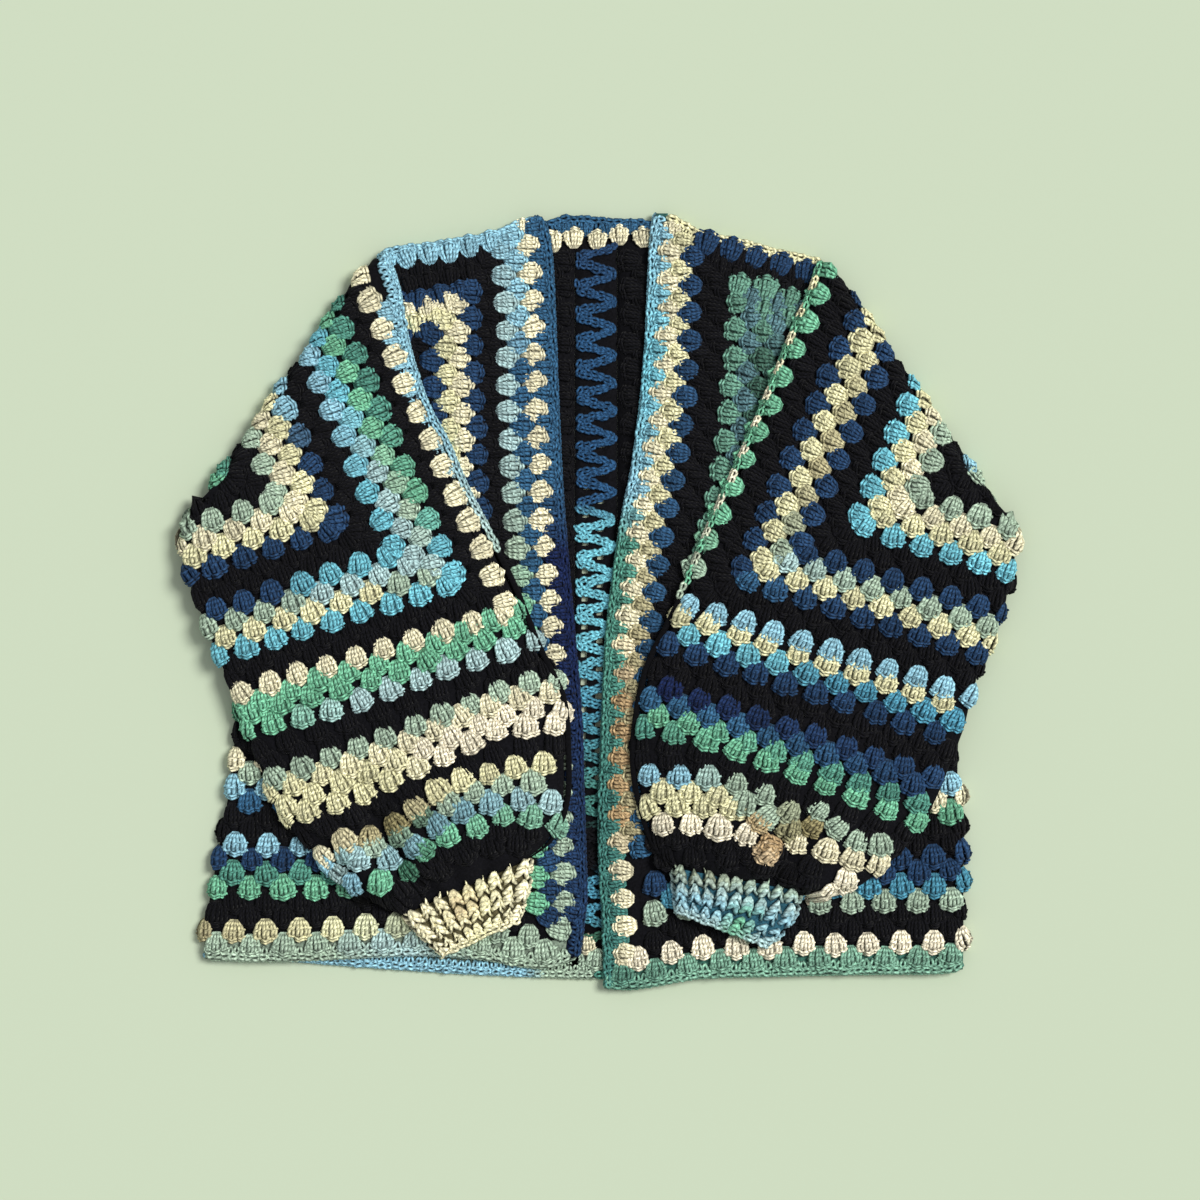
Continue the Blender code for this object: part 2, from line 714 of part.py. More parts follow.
def cuff(side):
    """The ribbed cuff, a short flattened tube below the gathered end of the sleeve."""
    outer, inner = [], []
    down = Vector((0.0, -SEAM_GAP * 1.2))
    for index in range(CUFF_RINGS + 1):
        ring = smooth_row(side.cuff, index / CUFF_RINGS)
        start = Vector((ring.fold_x, ring.fold_y)) + down
        span = Vector((ring.seam_x, ring.seam_y)) - Vector((ring.fold_x, ring.fold_y))
        direction = span.normalized()
        columns = CUFF_RIBS * RIB_COLUMNS
        ribbed_out, _ = tube_section(span.length, columns, rib_height)
        plain_out, plain_in = tube_section(span.length, columns, lambda across: 0.0)
        for points, section in ((outer, ribbed_out), (inner, plain_in)):
            points.append(place_section(section, start, direction, down, 0.0))
    return cloth(f"{side.name}_cuff", outer, inner, "cuff", closed=True)


# ---------------------------------------------------------------- trimmings

def front_band(side):
    """The crocheted edging of one front, from hem to neck."""
    edge = smooth_line(side.opening)
    outer = [Vector((edge[0].x + side.out * FRONT_BAND_WIDTH, edge[0].y))]
    outer += [point - Vector((side.out * SEAM_GAP, 0.0)) for point in front_edge(side)]
    outer.append(Vector((edge[-1].x + side.out * FRONT_BAND_WIDTH, edge[-1].y)))
    inner = [point - Vector((side.out * FRONT_BAND_WIDTH, 0.0)) for point in outer]
    name = f"{side.name}_front_band"
    return trim(name, inner, outer, FRONT_LOW, BODY_TOP, name)


def neck_band():
    """The crocheted edging of the back neck."""
    upper = [Vector(point) for point in NECK_EDGE]
    lower = [Vector((point.x, NECK_LOW_Y)) for point in NECK_EDGE]
    return trim("neck_band", lower, upper, 0.0, WALL, "neck_band")


def shoulder_seam(side):
    """The seam that holds front and back together from the armhole to the neck."""
    edge = smooth_line(side.shoulder)
    lower = [point + Vector((0.0, SEAM_GAP)) for point in shoulder_row(side)]
    upper = [at_share(edge, part / SHOULDER_COLUMNS) for part in range(SHOULDER_COLUMNS + 1)]
    return trim(f"{side.name}_shoulder_seam", lower, upper, 0.0, BODY_TOP, f"{side.name}_seam")


def sleeve_seam(side):
    """The seam along the top of the sleeve, which lies at its inner edge here."""
    inner, outer = [], []
    for station in range(SLEEVE_RINGS + 1):
        ring = smooth_row(side.rings, station / SLEEVE_RINGS)
        _, direction, _ = ring_line(ring)
        edge = Vector((ring.seam_x, ring.seam_y))
        outer.append(edge)
        inner.append(edge - direction * SEAM_WIDTH)
    top = SLEEVE_LOW + 2 * FOLD_RADIUS
    return trim(f"{side.name}_sleeve_seam", inner, outer, SLEEVE_LOW, top, f"{side.name}_seam")


# ---------------------------------------------------------------- the garment

def clear_scene():
    """Remove what the default scene holds."""
    for thing in list(bpy.data.objects):
        bpy.data.objects.remove(thing, do_unlink=True)


def build_cardigan():
    """Make every piece of both sides, then the pieces in the middle."""
    for side in (LEFT, RIGHT):
        half_body(side)
        hem(side)
        front_band(side)
        shoulder_seam(side)
        sleeve(side)
        sleeve_seam(side)
        cuff(side)
    back_join()
    neck_band()


clear_scene()
build_cardigan()
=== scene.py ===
# %% [markdown]
# # A crochet cardigan, laid flat
#
# This lesson dresses a plain solid model of a cardigan in its real stitches. The garment is two big
# crocheted hexagons, striped in black, blue, green and cream, each folded into a half front, a half
# back and a sleeve. It lies face up, with both sleeves folded forward over the fronts.
#
# The fabric is nothing but knots of thick wool, and a flat cloth with a picture of stitches would
# look wrong from every side. So each cluster of stitches is made once from strands of yarn, and
# then laid out hundreds of times on the curved cloth, in rows that follow the way the piece was
# worked.

import functools
import math
import random
from collections import namedtuple

import bpy
import numpy as np
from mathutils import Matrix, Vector
from mathutils.bvhtree import BVHTree


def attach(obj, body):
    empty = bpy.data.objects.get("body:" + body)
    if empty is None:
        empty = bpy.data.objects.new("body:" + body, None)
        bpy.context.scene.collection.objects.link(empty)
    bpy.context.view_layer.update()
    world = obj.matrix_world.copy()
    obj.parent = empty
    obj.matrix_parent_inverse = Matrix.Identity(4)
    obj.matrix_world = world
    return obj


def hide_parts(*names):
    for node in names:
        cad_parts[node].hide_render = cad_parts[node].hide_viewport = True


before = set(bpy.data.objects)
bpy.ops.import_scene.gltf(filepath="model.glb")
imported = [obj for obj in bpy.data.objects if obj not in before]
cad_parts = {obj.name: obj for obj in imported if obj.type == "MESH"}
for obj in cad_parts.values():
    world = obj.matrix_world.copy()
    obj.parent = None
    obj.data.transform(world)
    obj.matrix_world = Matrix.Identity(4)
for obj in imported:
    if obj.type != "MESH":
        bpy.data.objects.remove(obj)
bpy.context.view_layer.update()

# %% [markdown]
# ## The camera
#
# A garment laid out for a picture is taken from straight above. A long lens far away keeps the
# raised sleeves from looking bigger than the body, as a short lens close by would.

# %% Camera straight above the table
MM = 0.001
VIEW_WIDTH = 0.888
VIEW_CENTRE = (-0.0004, 0.0004)
FOCUS_HEIGHT = 0.010
LENS = 120
SENSOR = 36


def link_new(name, data):
    """A new object in the scene."""
    made = bpy.data.objects.new(name, data)
    bpy.context.scene.collection.objects.link(made)
    return made


camera_data = bpy.data.cameras.new("camera_above")
camera_data.lens = LENS
camera_data.sensor_width = SENSOR
camera = link_new("camera_above", camera_data)
camera.location = (*VIEW_CENTRE, FOCUS_HEIGHT + VIEW_WIDTH * LENS / SENSOR)
bpy.context.scene.camera = camera
print("the camera hangs", round(camera.location.z, 2), "m above the table")

# %% [markdown]
# ## Table and light
#
# The table is one plain pale green sheet with a faint grain. A wide sun from the upper right gives
# every strand a lit side and a short soft shadow, and an even sky fills the rest. The two strengths
# add up so that the table shows close to its own colour.

# %% Table and light
TABLE_COLOUR = np.array((0.645, 0.745, 0.560))
TABLE_REACH = 3.0
SUN_ANGLE = math.radians(24)
SUN_TILT = math.radians(-38)
SUN_SIDE = math.radians(-64)
SUN_SHARE = 0.60


def connect(node, inputs):
    """Link or set a node's inputs."""
    for key, value in inputs.items():
        if isinstance(value, bpy.types.NodeSocket):
            node.id_data.links.new(value, node.inputs[key])
        else:
            node.inputs[key].default_value = value


def new_material(name):
    """A material, its shader, and a helper that adds a node and gives one of its outputs."""
    material = bpy.data.materials.new(name)
    material.use_nodes = True
    nodes = material.node_tree.nodes

    def add(kind, inputs=(), out=0, **settings):
        node = nodes.new("ShaderNode" + kind)
        for setting, value in settings.items():
            setattr(node, setting, value)
        connect(node, inputs if isinstance(inputs, dict) else dict(enumerate(inputs)))
        return node.outputs[out]

    return material, nodes["Principled BSDF"], add


paper, shader, add = new_material("pale_green_table")
tint = add("Mix", {"Factor": add("TexNoise", {"Scale": 6.0}), "A": (*TABLE_COLOUR, 1),
                   "B": (*(0.985 * TABLE_COLOUR), 1)}, "Result", data_type="RGBA")
connect(shader, {"Base Color": tint, "Roughness": 0.9, "Specular IOR Level": 0.1})
sheet = bpy.data.meshes.new("table_top")
sheet.from_pydata([(x * TABLE_REACH, y * TABLE_REACH, 0)
                   for x, y in ((-1, -1), (1, -1), (1, 1), (-1, 1))], [], [(0, 1, 2, 3)])
sheet.materials.append(paper)
link_new("table_top", sheet)

world = bpy.data.worlds.new("soft_sky")
world.use_nodes = True
connect(world.node_tree.nodes["Background"],
        {"Color": (0.97, 0.98, 1.0, 1), "Strength": 1 - SUN_SHARE})
bpy.context.scene.world = world
sun_data = bpy.data.lights.new("wide_sun", "SUN")
sun_data.energy = SUN_SHARE * math.pi / math.cos(SUN_TILT)
sun_data.angle = SUN_ANGLE
sun_data.color = (1.0, 0.985, 0.96)
link_new("wide_sun", sun_data).rotation_euler = (SUN_TILT, 0, SUN_SIDE)
bpy.context.scene.view_settings.view_transform = "Standard"
print("the sun gives", round(SUN_SHARE * 100), "percent of the light on the table")

# %% [markdown]
# ## The colours of the yarn
#
# The yarn is dyed in slowly changing colours, so a row may start cream and end sage. Each dye is
# named here once. A row then gives its colours as words: "cream 90 sage" starts in cream and has
# turned sage at 90 mm. Every dye is a little greyed, as wool looks among its own fuzz and shadows.

# %% The colours of the yarn
FADE = 0.14
LIGHT_WEIGHTS = (0.21, 0.72, 0.07)


def yarn(red, green, blue):
    """A colour given as 0 to 255 the way it looks on a screen, as light amounts, a bit greyed."""
    shares = np.array((red, green, blue)) / 255
    light = np.where(shares <= 0.04045, shares / 12.92, ((shares + 0.055) / 1.055) ** 2.4)
    return light + FADE * (light @ LIGHT_WEIGHTS - light)


DYES = {
    "black": yarn(15, 15, 20), "cream": yarn(242, 234, 192), "pale_cream": yarn(250, 240, 208),
    "yellow_cream": yarn(232, 228, 174), "tan": yarn(192, 160, 110), "khaki": yarn(184, 174, 128),
    "olive": yarn(150, 140, 92), "sage": yarn(168, 194, 168), "frost": yarn(172, 208, 208),
    "light_blue": yarn(142, 202, 222), "turquoise": yarn(104, 198, 216),
    "teal_blue": yarn(66, 150, 178), "grey_blue": yarn(120, 172, 184),
    "mid_blue": yarn(46, 100, 138), "deep_blue": yarn(34, 82, 124), "navy": yarn(34, 68, 106),
    "dark_navy": yarn(24, 40, 84), "green": yarn(108, 192, 150), "teal_green": yarn(76, 152, 132),
    "sea_green": yarn(128, 184, 156), "dark_green": yarn(52, 104, 80),
    "dull_green": yarn(104, 162, 138), "grey_teal": yarn(88, 132, 140),
    # The darkest green here is a dark green yarn with the painted shadow of the right sleeve on it.
    "shade_green": yarn(62, 104, 88), "deep_teal": yarn(62, 132, 122),
}


@functools.cache
def stops_of(row):
    """The distances and colours that a row's words name."""
    words = row.split()
    return [0.0, *map(float, words[1::2])], np.array([DYES[name] for name in words[::2]])


def dye_at(row, distance):
    """The yarn's colour at a distance along its row."""
    places, colours = stops_of(row)
    return np.array([np.interp(distance, places, channel) for channel in colours.T])


print(len(DYES), "colours of yarn")

# %% [markdown]
# ## Wool
#
# The yarn is a thick, matt, plied wool. One material serves every stitch: its colour is painted on
# the mesh as an attribute called dye, which holds the yarn's colour times the painted shade and
# painted highlight of each strand. The plies are stripes that wind round each strand along its own
# UV marks, with painted shade in the furrow between them and a painted highlight on each ply. Noise
# in the object's space gives the fibres and the marled specks, and a stretched noise along the
# strand its streaks. The fuzz of wool catches light at grazing angles, which is what sheen is for.

# %% Wool material
PLIES = 2
PLY_TURN = 8.0
FURROW_SHADE = 0.55
PLY_LIGHT = 1.2
STREAKS = 7.0
STREAK_LENGTH = 2.6


def wool(name, marl, fleck, sheen):
    """Matt plied wool in the mesh's dye attribute: yarn colour with painted shade and highlight."""
    material, shader, add = new_material(name)
    calc = functools.partial(add, "Math")
    spread_out = functools.partial(add, "MapRange")
    # The dye attribute holds the yarn's colour times painted shade and painted highlight.
    dye_with_painted_shade = add("Attribute", out="Color", attribute_name="dye")
    marks = add("UVMap", uv_map="yarn")
    place = add("TexCoord", out="Object")
    around, along = (add("SeparateXYZ", [marks], axis) for axis in "XY")
    turn = calc([along, 1 / PLY_TURN, around], operation="MULTIPLY_ADD")
    wave = calc([calc([turn, math.pi * PLIES], operation="MULTIPLY")], operation="SINE")
    ply = calc([wave], operation="ABSOLUTE")
    specks = add("TexNoise", {"Vector": place, "Scale": 620.0, "Detail": 2.0})
    fibres = add("TexNoise", {"Vector": place, "Scale": 2600.0, "Detail": 3.0})
    drawn_out = add("VectorMath", [marks, (STREAKS, 1 / STREAK_LENGTH, 1.0)],
                    operation="MULTIPLY")
    streaks = add("TexNoise", {"Vector": drawn_out, "Scale": 1.0, "Detail": 2.0})
    # Painted shade in the furrows between plies and a painted highlight on their tops, times the
    # streaks; the marl's specks are the yarn's own.
    light = calc([spread_out([ply, 0.0, 0.8, FURROW_SHADE, PLY_LIGHT]),
                  spread_out([streaks, 0.3, 0.7, 0.72, 1.25])], operation="MULTIPLY")
    shade = calc([light, spread_out([specks, 0.3, 0.7, 1 - marl, 1 + marl])],
                 operation="MULTIPLY")
    tinted = add("VectorMath", {0: dye_with_painted_shade, 3: shade}, operation="SCALE")
    pale_hair = add("VectorMath", [dye_with_painted_shade, (1.5,) * 3, (0.015,) * 3],
                    operation="MULTIPLY_ADD")
    flecked = add("Mix", {"Factor": spread_out([fibres, 0.58, 0.75, 0.0, fleck]),
                          "A": tinted, "B": pale_hair}, "Result", data_type="RGBA")
    height = calc([fibres, 0.5, ply], operation="MULTIPLY_ADD")
    relief = add("Bump", {"Height": height, "Strength": 0.7, "Distance": 0.0006})
    connect(shader, {"Base Color": flecked, "Normal": relief, "Roughness": 0.9,
                     "Specular IOR Level": 0.12, "Sheen Weight": sheen, "Sheen Roughness": 0.5})
    return material


stitch_wool = wool("plied_wool", marl=0.36, fleck=0.3, sheen=0.04)
ground_wool = wool("wool_ground", marl=0.5, fleck=0.1, sheen=0.02)
print("two wool materials")

# %% [markdown]
# ## One strand of yarn
#
# A strand is a round tube along a short curve. Its faces are all four-sided, and each carries UV
# marks: once round the strand, and millimetres along it, for the plies. It is painted with shade on
# its sides and below, as deep between stitches little light arrives, and with a painted highlight
# on top. Strands are joined into a pattern, which is a small stitch still lying flat at the origin:
# X across the row, Y the way the work grows, Z up, all in millimetres.

# %% Strands
SIDE_SHADE = 0.18
TOP_LIGHT = 1.41

Pattern = namedtuple("Pattern", "points faces marks shade")


def spline(table, positions):
    """A table read between its rows on a smooth curve; positions run from 0 to 1."""
    rows = np.array(table, float)
    place = np.clip(np.asarray(positions, float), 0, 1) * (len(rows) - 1)
    index = np.minimum(place.astype(int), len(rows) - 2)
    t = (place - index)[..., None]
    before, start = rows[np.maximum(index - 1, 0)], rows[index]
    end, after = rows[index + 1], rows[np.minimum(index + 2, len(rows) - 1)]
    return (
        start * (2 * t**3 - 3 * t**2 + 1) + (end - before) / 2 * (t**3 - 2 * t**2 + t)
        + end * (3 * t**2 - 2 * t**3) + (after - start) / 2 * (t**3 - t**2)
    )


def distances(path):
    """How far each point of a path is from its start."""
    return np.concatenate([[0], np.cumsum(np.linalg.norm(np.diff(path, axis=0), axis=1))])


def tube_faces(rings, sides):
    """The four-sided faces round a tube made of rings of points."""
    index = np.arange(rings * sides).reshape(rings, sides)
    after = np.roll(index, -1, axis=1)
    return np.stack([index[:-1], after[:-1], after[1:], index[1:]], -1).reshape(-1, 4)


def strand(stops, steps, radius, sides=6, shade=1.0):
    """A closed round tube along a smooth path through a few stops."""
    path = spline(stops, np.linspace(0, 1, steps + 1))
    count = len(path)
    tangent = np.gradient(path, axis=0)
    tangent /= np.linalg.norm(tangent, axis=1)[:, None]
    across = np.cross(tangent, (0.0, 0.0, 1.0))
    weak = np.linalg.norm(across, axis=1) < 0.2
    across[weak] = np.cross(tangent[weak], (0.0, 1.0, 0.0))
    across /= np.linalg.norm(across, axis=1)[:, None]
    for index in range(1, count):
        if np.dot(across[index], across[index - 1]) < 0:
            across[index] *= -1
    angles = 2 * math.pi * np.arange(sides)[:, None] / sides
    ring = (across[:, None] * np.cos(angles)
            + np.cross(across, tangent)[:, None] * np.sin(angles))
    points = path[:, None] + ring * np.broadcast_to(radius, count)[:, None, None]
    # Painted shade on the strand's sides and underside, and a painted highlight on its top.
    lit = SIDE_SHADE + (TOP_LIGHT - SIDE_SHADE) * ((ring[..., 2] + 1) / 2) ** 3
    faces = tube_faces(count, sides)
    corners = np.array([(0, k + 1, k + 2, k + 3) for k in range(0, sides - 2, 2)])
    caps = [*corners[:, ::-1], *(corners + (count - 1) * sides)]
    left, low = np.meshgrid(np.arange(sides) / sides, distances(path)[:-1])
    high = np.meshgrid(left[0], distances(path)[1:])[1]
    right = left + 1 / sides
    marks = np.stack([left, low, right, low, right, high, left, high], -1).reshape(-1, 4, 2)
    cap_marks = [((0.1, 0), (0.2, 0), (0.2, 0.2), (0.1, 0.2))] * len(caps)
    return Pattern(points.reshape(-1, 3), np.concatenate([faces, caps]),
                   np.concatenate([marks, cap_marks]), shade * lit.ravel())


def gathered(*lots):
    """Several patterns, or lots of stitches made from them, as one."""
    points, faces, marks, shades = zip(*lots)
    starts = np.cumsum([0, *map(len, points)])
    return Pattern(np.concatenate(points), np.concatenate([*map(np.add, faces, starts)]),
                   np.concatenate(marks), np.concatenate(shades))


print("a short strand has", len(strand([(0, 0, 0), (0, 5, 0)], 1, 1.0).faces), "faces")

# %% [markdown]
# ## The cluster
#
# The fabric is made of clusters: three tall stitches worked into one gap, so that they fan out from
# a narrow foot, with a row of chain loops across their heads. Each tall stitch is two strands wound
# half round each other and a short strand lying aslant over them. A plump core behind them closes
# the gaps, as the back of the real stitch does; it is painted much darker than the yarn, as painted
# shade deep in the cluster. Five slightly different clusters keep the rows from looking stamped.
# Three plainer, flatter ones serve for the black rows, where little of a stitch can be seen and the
# coloured rows beside them stand proud.

# %% Cluster patterns
CLUSTER_SCALE = (1.13, 0.94, 1.0)


def cluster(seed, sides, bars):
    """One cluster of three tall stitches, centred on the origin."""
    dice = random.Random(seed)
    # The core is painted at 0.3 of the yarn's colour: painted shade deep behind the strands.
    core = strand([(0, -9.2, 0.6), (0, -3, 1.0), (0, 3.5, 1.1), (0, 8.4, 0.8)], 5,
                  [1.8, 4.8, 6.3, 6.8, 5.9, 1.8], 4, 0.3)
    parts = [core._replace(points=core.points * (1, 1, 0.5) + (0, 0, 0.2))]
    thickness = np.interp([0, 1 / 3, 2 / 3, 1], [0, 0.3, 0.7, 1], [0.75, 1.15, 1.4, 1.25])
    for post in (-1, 0, 1):
        lean = dice.uniform(-0.6, 0.6)
        low = 1.7 * abs(post)
        for half in (-1, 1):
            wide = half * dice.uniform(0.95, 1.35)
            reach = dice.uniform(-0.6, 0.6)
            lift = dice.uniform(-0.35, 0.35)
            parts.append(strand([
                (post * 1.5 + half * 0.5, -10.0, 0.8),
                (post * 4.1 + wide * 0.9, -5.8, 3.0 - low / 2 + lift),
                (post * 5.2 + lean + wide, -0.6 + reach, 4.2 - low + lift),
                (post * 5.1 + lean + wide * 1.1, 5.4 + reach, 3.9 - low),
            ], 3, thickness, sides, dice.uniform(0.88, 1.1)))
        x = post * 5.1 + lean
        if bars:
            y = dice.uniform(-1.6, 0.6)
            parts.append(strand([(x - 2.5, y - 1.3, 3.6 - low), (x, y, 5.4 - low),
                                 (x + 2.4, y + 1.5, 3.7 - low)], 2, 1.05, sides))
        slant = 0.9 * post + dice.uniform(-0.4, 0.4)
        for y, high in ((6.6 - low, 4.7 - low), (8.7 - low, 3.2 - low)):
            parts.append(strand([
                (x - 2.9, y - 0.8 + slant, high - 1.5),
                (x + dice.uniform(-0.4, 0.4), y + 0.5, high),
                (x + 2.9, y - 0.8 - slant, high - 1.5),
            ], 2, 1.2, sides, dice.uniform(0.95, 1.12)))
    whole = gathered(*parts)
    return whole._replace(points=whole.points * CLUSTER_SCALE)


def pressed(pattern):
    """A pattern pressed down, so that its neighbours stand proud of it."""
    return pattern._replace(points=pattern.points * (1, 1, 0.7) - (0, 0, 0.4))


full_clusters = [cluster(seed, 6, bars=True) for seed in range(5)]
plain_clusters = [pressed(cluster(seed, 4, bars=False)) for seed in range(5, 8)]
print("a cluster has", 2 * len(full_clusters[0].faces), "triangles, a plain one",
      2 * len(plain_clusters[0].faces))

# %% [markdown]
# ## Laying stitches on curved cloth
#
# The cloth is drawn twice: once flat, as the pattern of rows is planned, and once where it really
# lies, with its folds, its puffs and its creases. Where the cloth turns down at a fold, the flat
# drawing simply goes on. A fine raster then remembers, for each flat place, the place in space and
# the way up, so that thousands of stitches can be moved at once.

# %% The laid cloth
RASTER_STEP = 0.002
RASTER_MARGIN = 0.016
LOWEST = 0.0003


def cross2(a, b):
    """The area spanned by two flat directions."""
    return a[..., 0] * b[..., 1] - a[..., 1] * b[..., 0]


class LaidCloth:
    """Where each place of a flat drawing lies in space."""

    def __init__(self, flat, placed):
        rows, columns = flat.shape[:2]
        index = np.arange(rows * columns).reshape(rows, columns)
        a, b, c, d = (index[part].ravel() for part in (
            np.s_[:-1, :-1], np.s_[:-1, 1:], np.s_[1:, 1:], np.s_[1:, :-1]))
        corners = np.concatenate([np.stack([a, b, c], -1), np.stack([a, c, d], -1)])
        plan, space = flat.reshape(-1, 2), placed.reshape(-1, 3)
        facing = np.zeros_like(space)
        a, b, c = (space[corners[:, k]] for k in range(3))
        for k in range(3):
            np.add.at(facing, corners[:, k], np.cross(b - a, c - a))
        facing /= np.maximum(np.linalg.norm(facing, axis=1), 1e-12)[:, None]
        if facing[:, 2].mean() < 0:
            facing = -facing
        self.low = plan.min(0) - RASTER_MARGIN
        size = np.ceil((plan.max(0) + RASTER_MARGIN - self.low) / RASTER_STEP).astype(int) + 1
        spots = np.stack(np.meshgrid(*map(np.arange, size)), -1) * RASTER_STEP + self.low
        found = np.zeros(spots.shape[:2], int)
        hits = np.zeros_like(spots)
        self.on_cloth = np.zeros(spots.shape[:2], bool)
        tree = BVHTree.FromPolygons([(x, y, 0.0) for x, y in plan], corners.tolist())
        down = Vector((0, 0, -1))
        for cell in np.ndindex(found.shape):
            spot, _, face, _ = tree.ray_cast(Vector((*spots[cell], 1)), down)
            self.on_cloth[cell] = spot is not None
            if spot is None:
                spot, _, face, _ = tree.find_nearest(Vector((*spots[cell], 0)))
            found[cell], hits[cell] = face, spot[:2]
        first, second, third = (plan[corners[found, k]] for k in range(3))
        whole = cross2(second - first, third - first)
        whole = np.where(np.abs(whole) < 1e-15, 1e-15, whole)
        weight_b = cross2(hits - first, third - first) / whole
        weight_c = cross2(second - first, hits - first) / whole
        weights = np.stack([1 - weight_b - weight_c, weight_b, weight_c], axis=-1)
        self.space, self.facing = (
            sum(weights[..., k, None] * table[corners[found, k]] for k in range(3))
            for table in (space, facing))
        self.space[..., :2] += np.where(self.on_cloth[..., None], 0, spots - hits)

    def sample(self, table, plan):
        """A raster read between its cells."""
        place = (plan - self.low) / RASTER_STEP
        place = np.clip(place, 0, np.array(table.shape[1::-1]) - 1.001)
        x, y = np.moveaxis(place.astype(int), -1, 0)
        u, v = np.moveaxis(place % 1, -1, 0)[..., None]
        return (
            table[y, x] * (1 - u) * (1 - v) + table[y, x + 1] * u * (1 - v)
            + table[y + 1, x] * (1 - u) * v + table[y + 1, x + 1] * u * v
        )

    def place(self, points):
        """Flat points with a height, in space."""
        facing = self.sample(self.facing, points[..., :2])
        facing /= np.linalg.norm(facing, axis=-1)[..., None]
        placed = self.sample(self.space, points[..., :2]) + facing * points[..., 2:3]
        placed[..., 2] = np.maximum(placed[..., 2], LOWEST)
        return placed

    def covered(self, stitches):
        """The stitches whose middle is on the cloth."""
        kept = []
        for stitch in stitches:
            column, row = ((np.array(stitch[:2]) - self.low) / RASTER_STEP + 0.5).astype(int)
            inside = 0 <= row < len(self.on_cloth) and 0 <= column < len(self.on_cloth[0])
            if inside and self.on_cloth[row, column]:
                kept.append(stitch)
        return kept


print("the raster has a point every", RASTER_STEP / MM, "mm")

# %% [markdown]
# ## From lists of stitches to one mesh
#
# A stitch in a list says where it lies, which way it grows, its colour and its size. All stitches
# of a piece become one mesh: joined meshes are light to render and easy to carry to other
# programs. A little seeded scatter in size, turn and place gives the unevenness of handwork, the
# same each run.

# %% Stitches to mesh
PLAIN_BELOW = 0.035

Stitch = namedtuple("Stitch", "x y way dye size", defaults=(1.0,))


def add_piece(name, form, material=stitch_wool, nodes=()):
    """Link one mesh to the scene, let it ride with the garment and stand for CAD solids."""
    mesh = bpy.data.meshes.new(name)
    mesh.vertices.add(len(form.points))
    mesh.vertices.foreach_set("co", np.asarray(form.points, np.float32).ravel())
    mesh.loops.add(4 * len(form.faces))
    mesh.loops.foreach_set("vertex_index", np.asarray(form.faces, np.int32).ravel())
    mesh.polygons.add(len(form.faces))
    mesh.polygons.foreach_set("loop_start", np.arange(0, 4 * len(form.faces), 4, dtype=np.int32))
    mesh.update(calc_edges=True)
    turns = mesh.uv_layers.new(name="yarn")
    turns.data.foreach_set("uv", np.asarray(form.marks, np.float32).ravel())
    # The dye attribute holds each colour with its painted shade and painted highlight.
    paint = mesh.color_attributes.new(name="dye", type="FLOAT_COLOR", domain="POINT")
    colours = np.ones((len(form.points), 4), np.float32)
    colours[:, :3] = form.shade
    paint.data.foreach_set("color", colours.ravel())
    mesh.shade_smooth()
    mesh.materials.append(material)
    piece = link_new(name, mesh)
    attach(piece, "root")
    if nodes:
        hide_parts(*nodes)
    print(name, "has", 2 * len(form.faces), "triangles")
    return piece


def copied(pattern, stitches, points, tones=1.0, turns=0.0):
    """Copies of a pattern with these points, in the stitches' dyes times its painted shade."""
    count = len(stitches)
    faces = pattern.faces + (np.arange(count) * len(pattern.points))[:, None, None]
    marks = np.tile(pattern.marks, (count, 1, 1, 1))
    marks[..., 1] += np.reshape(turns, (-1, 1, 1))
    dyes = np.array([stitch.dye for stitch in stitches]) * np.reshape(tones, (-1, 1))
    shades = dyes[:, None] * pattern.shade[:, None]
    return Pattern(points.reshape(-1, 3), faces.reshape(-1, 4), marks.reshape(-1, 4, 2),
                   shades.reshape(-1, 3))


def lay(cloth, pattern, stitches, dice):
    """A pattern at the places of many stitches on a cloth, a little uneven."""
    way = np.array([stitch.way + dice.gauss(0, 0.09) for stitch in stitches])[:, None]
    size = np.array([stitch.size * (1 + dice.gauss(0, 0.04)) for stitch in stitches])[:, None]
    spots = np.array([(stitch.x + dice.gauss(0, 0.5) * MM, stitch.y + dice.gauss(0, 0.5) * MM)
                      for stitch in stitches])
    tones = [1 + dice.gauss(0, 0.08) for _ in stitches]
    turns = [dice.uniform(0, PLY_TURN) for _ in stitches]
    x, y, z = (size * axis for axis in (pattern.points * MM).T)
    plan = np.dstack([spots[:, :1] + x * np.sin(way) + y * np.cos(way),
                      spots[:, 1:] - x * np.cos(way) + y * np.sin(way), z])
    return copied(pattern, stitches, cloth.place(plan), tones, turns)


def lay_all(groups, dice):
    """Groups of (cloth, pattern, stitches), laid and gathered."""
    return gathered(*(lay(*group, dice) for group in groups if group[2]))


def dealt(cloth, stitches, dice):
    """Stitches shared out among the cluster patterns; the dark ones get the plainer kind."""
    groups = {}
    for stitch in stitches:
        dark = stitch.dye.max() < PLAIN_BELOW
        kind = 5 + dice.randrange(3) if dark else dice.randrange(5)
        groups.setdefault(kind, []).append(stitch)
    kinds = full_clusters + plain_clusters
    return [(cloth, kinds[kind], groups[kind]) for kind in sorted(groups)]


print("ready to lay stitches")

# %% [markdown]
# ## The shape of the sleeves
#
# The solids of the model are repeated here, finer and a little thinner, as a dark ground cloth for
# the stitches to sit on: black like the black rows, and painted shade in the gaps between the
# coloured stitches. Each row of a ring table is a line round the sleeve: x and y of the fold
# under the arm, x and y of the seam along its top, and how far the crown puffs up there, in
# millimetres. Creases gather it at the cuff; their places are shares of the sleeve's length and
# width.

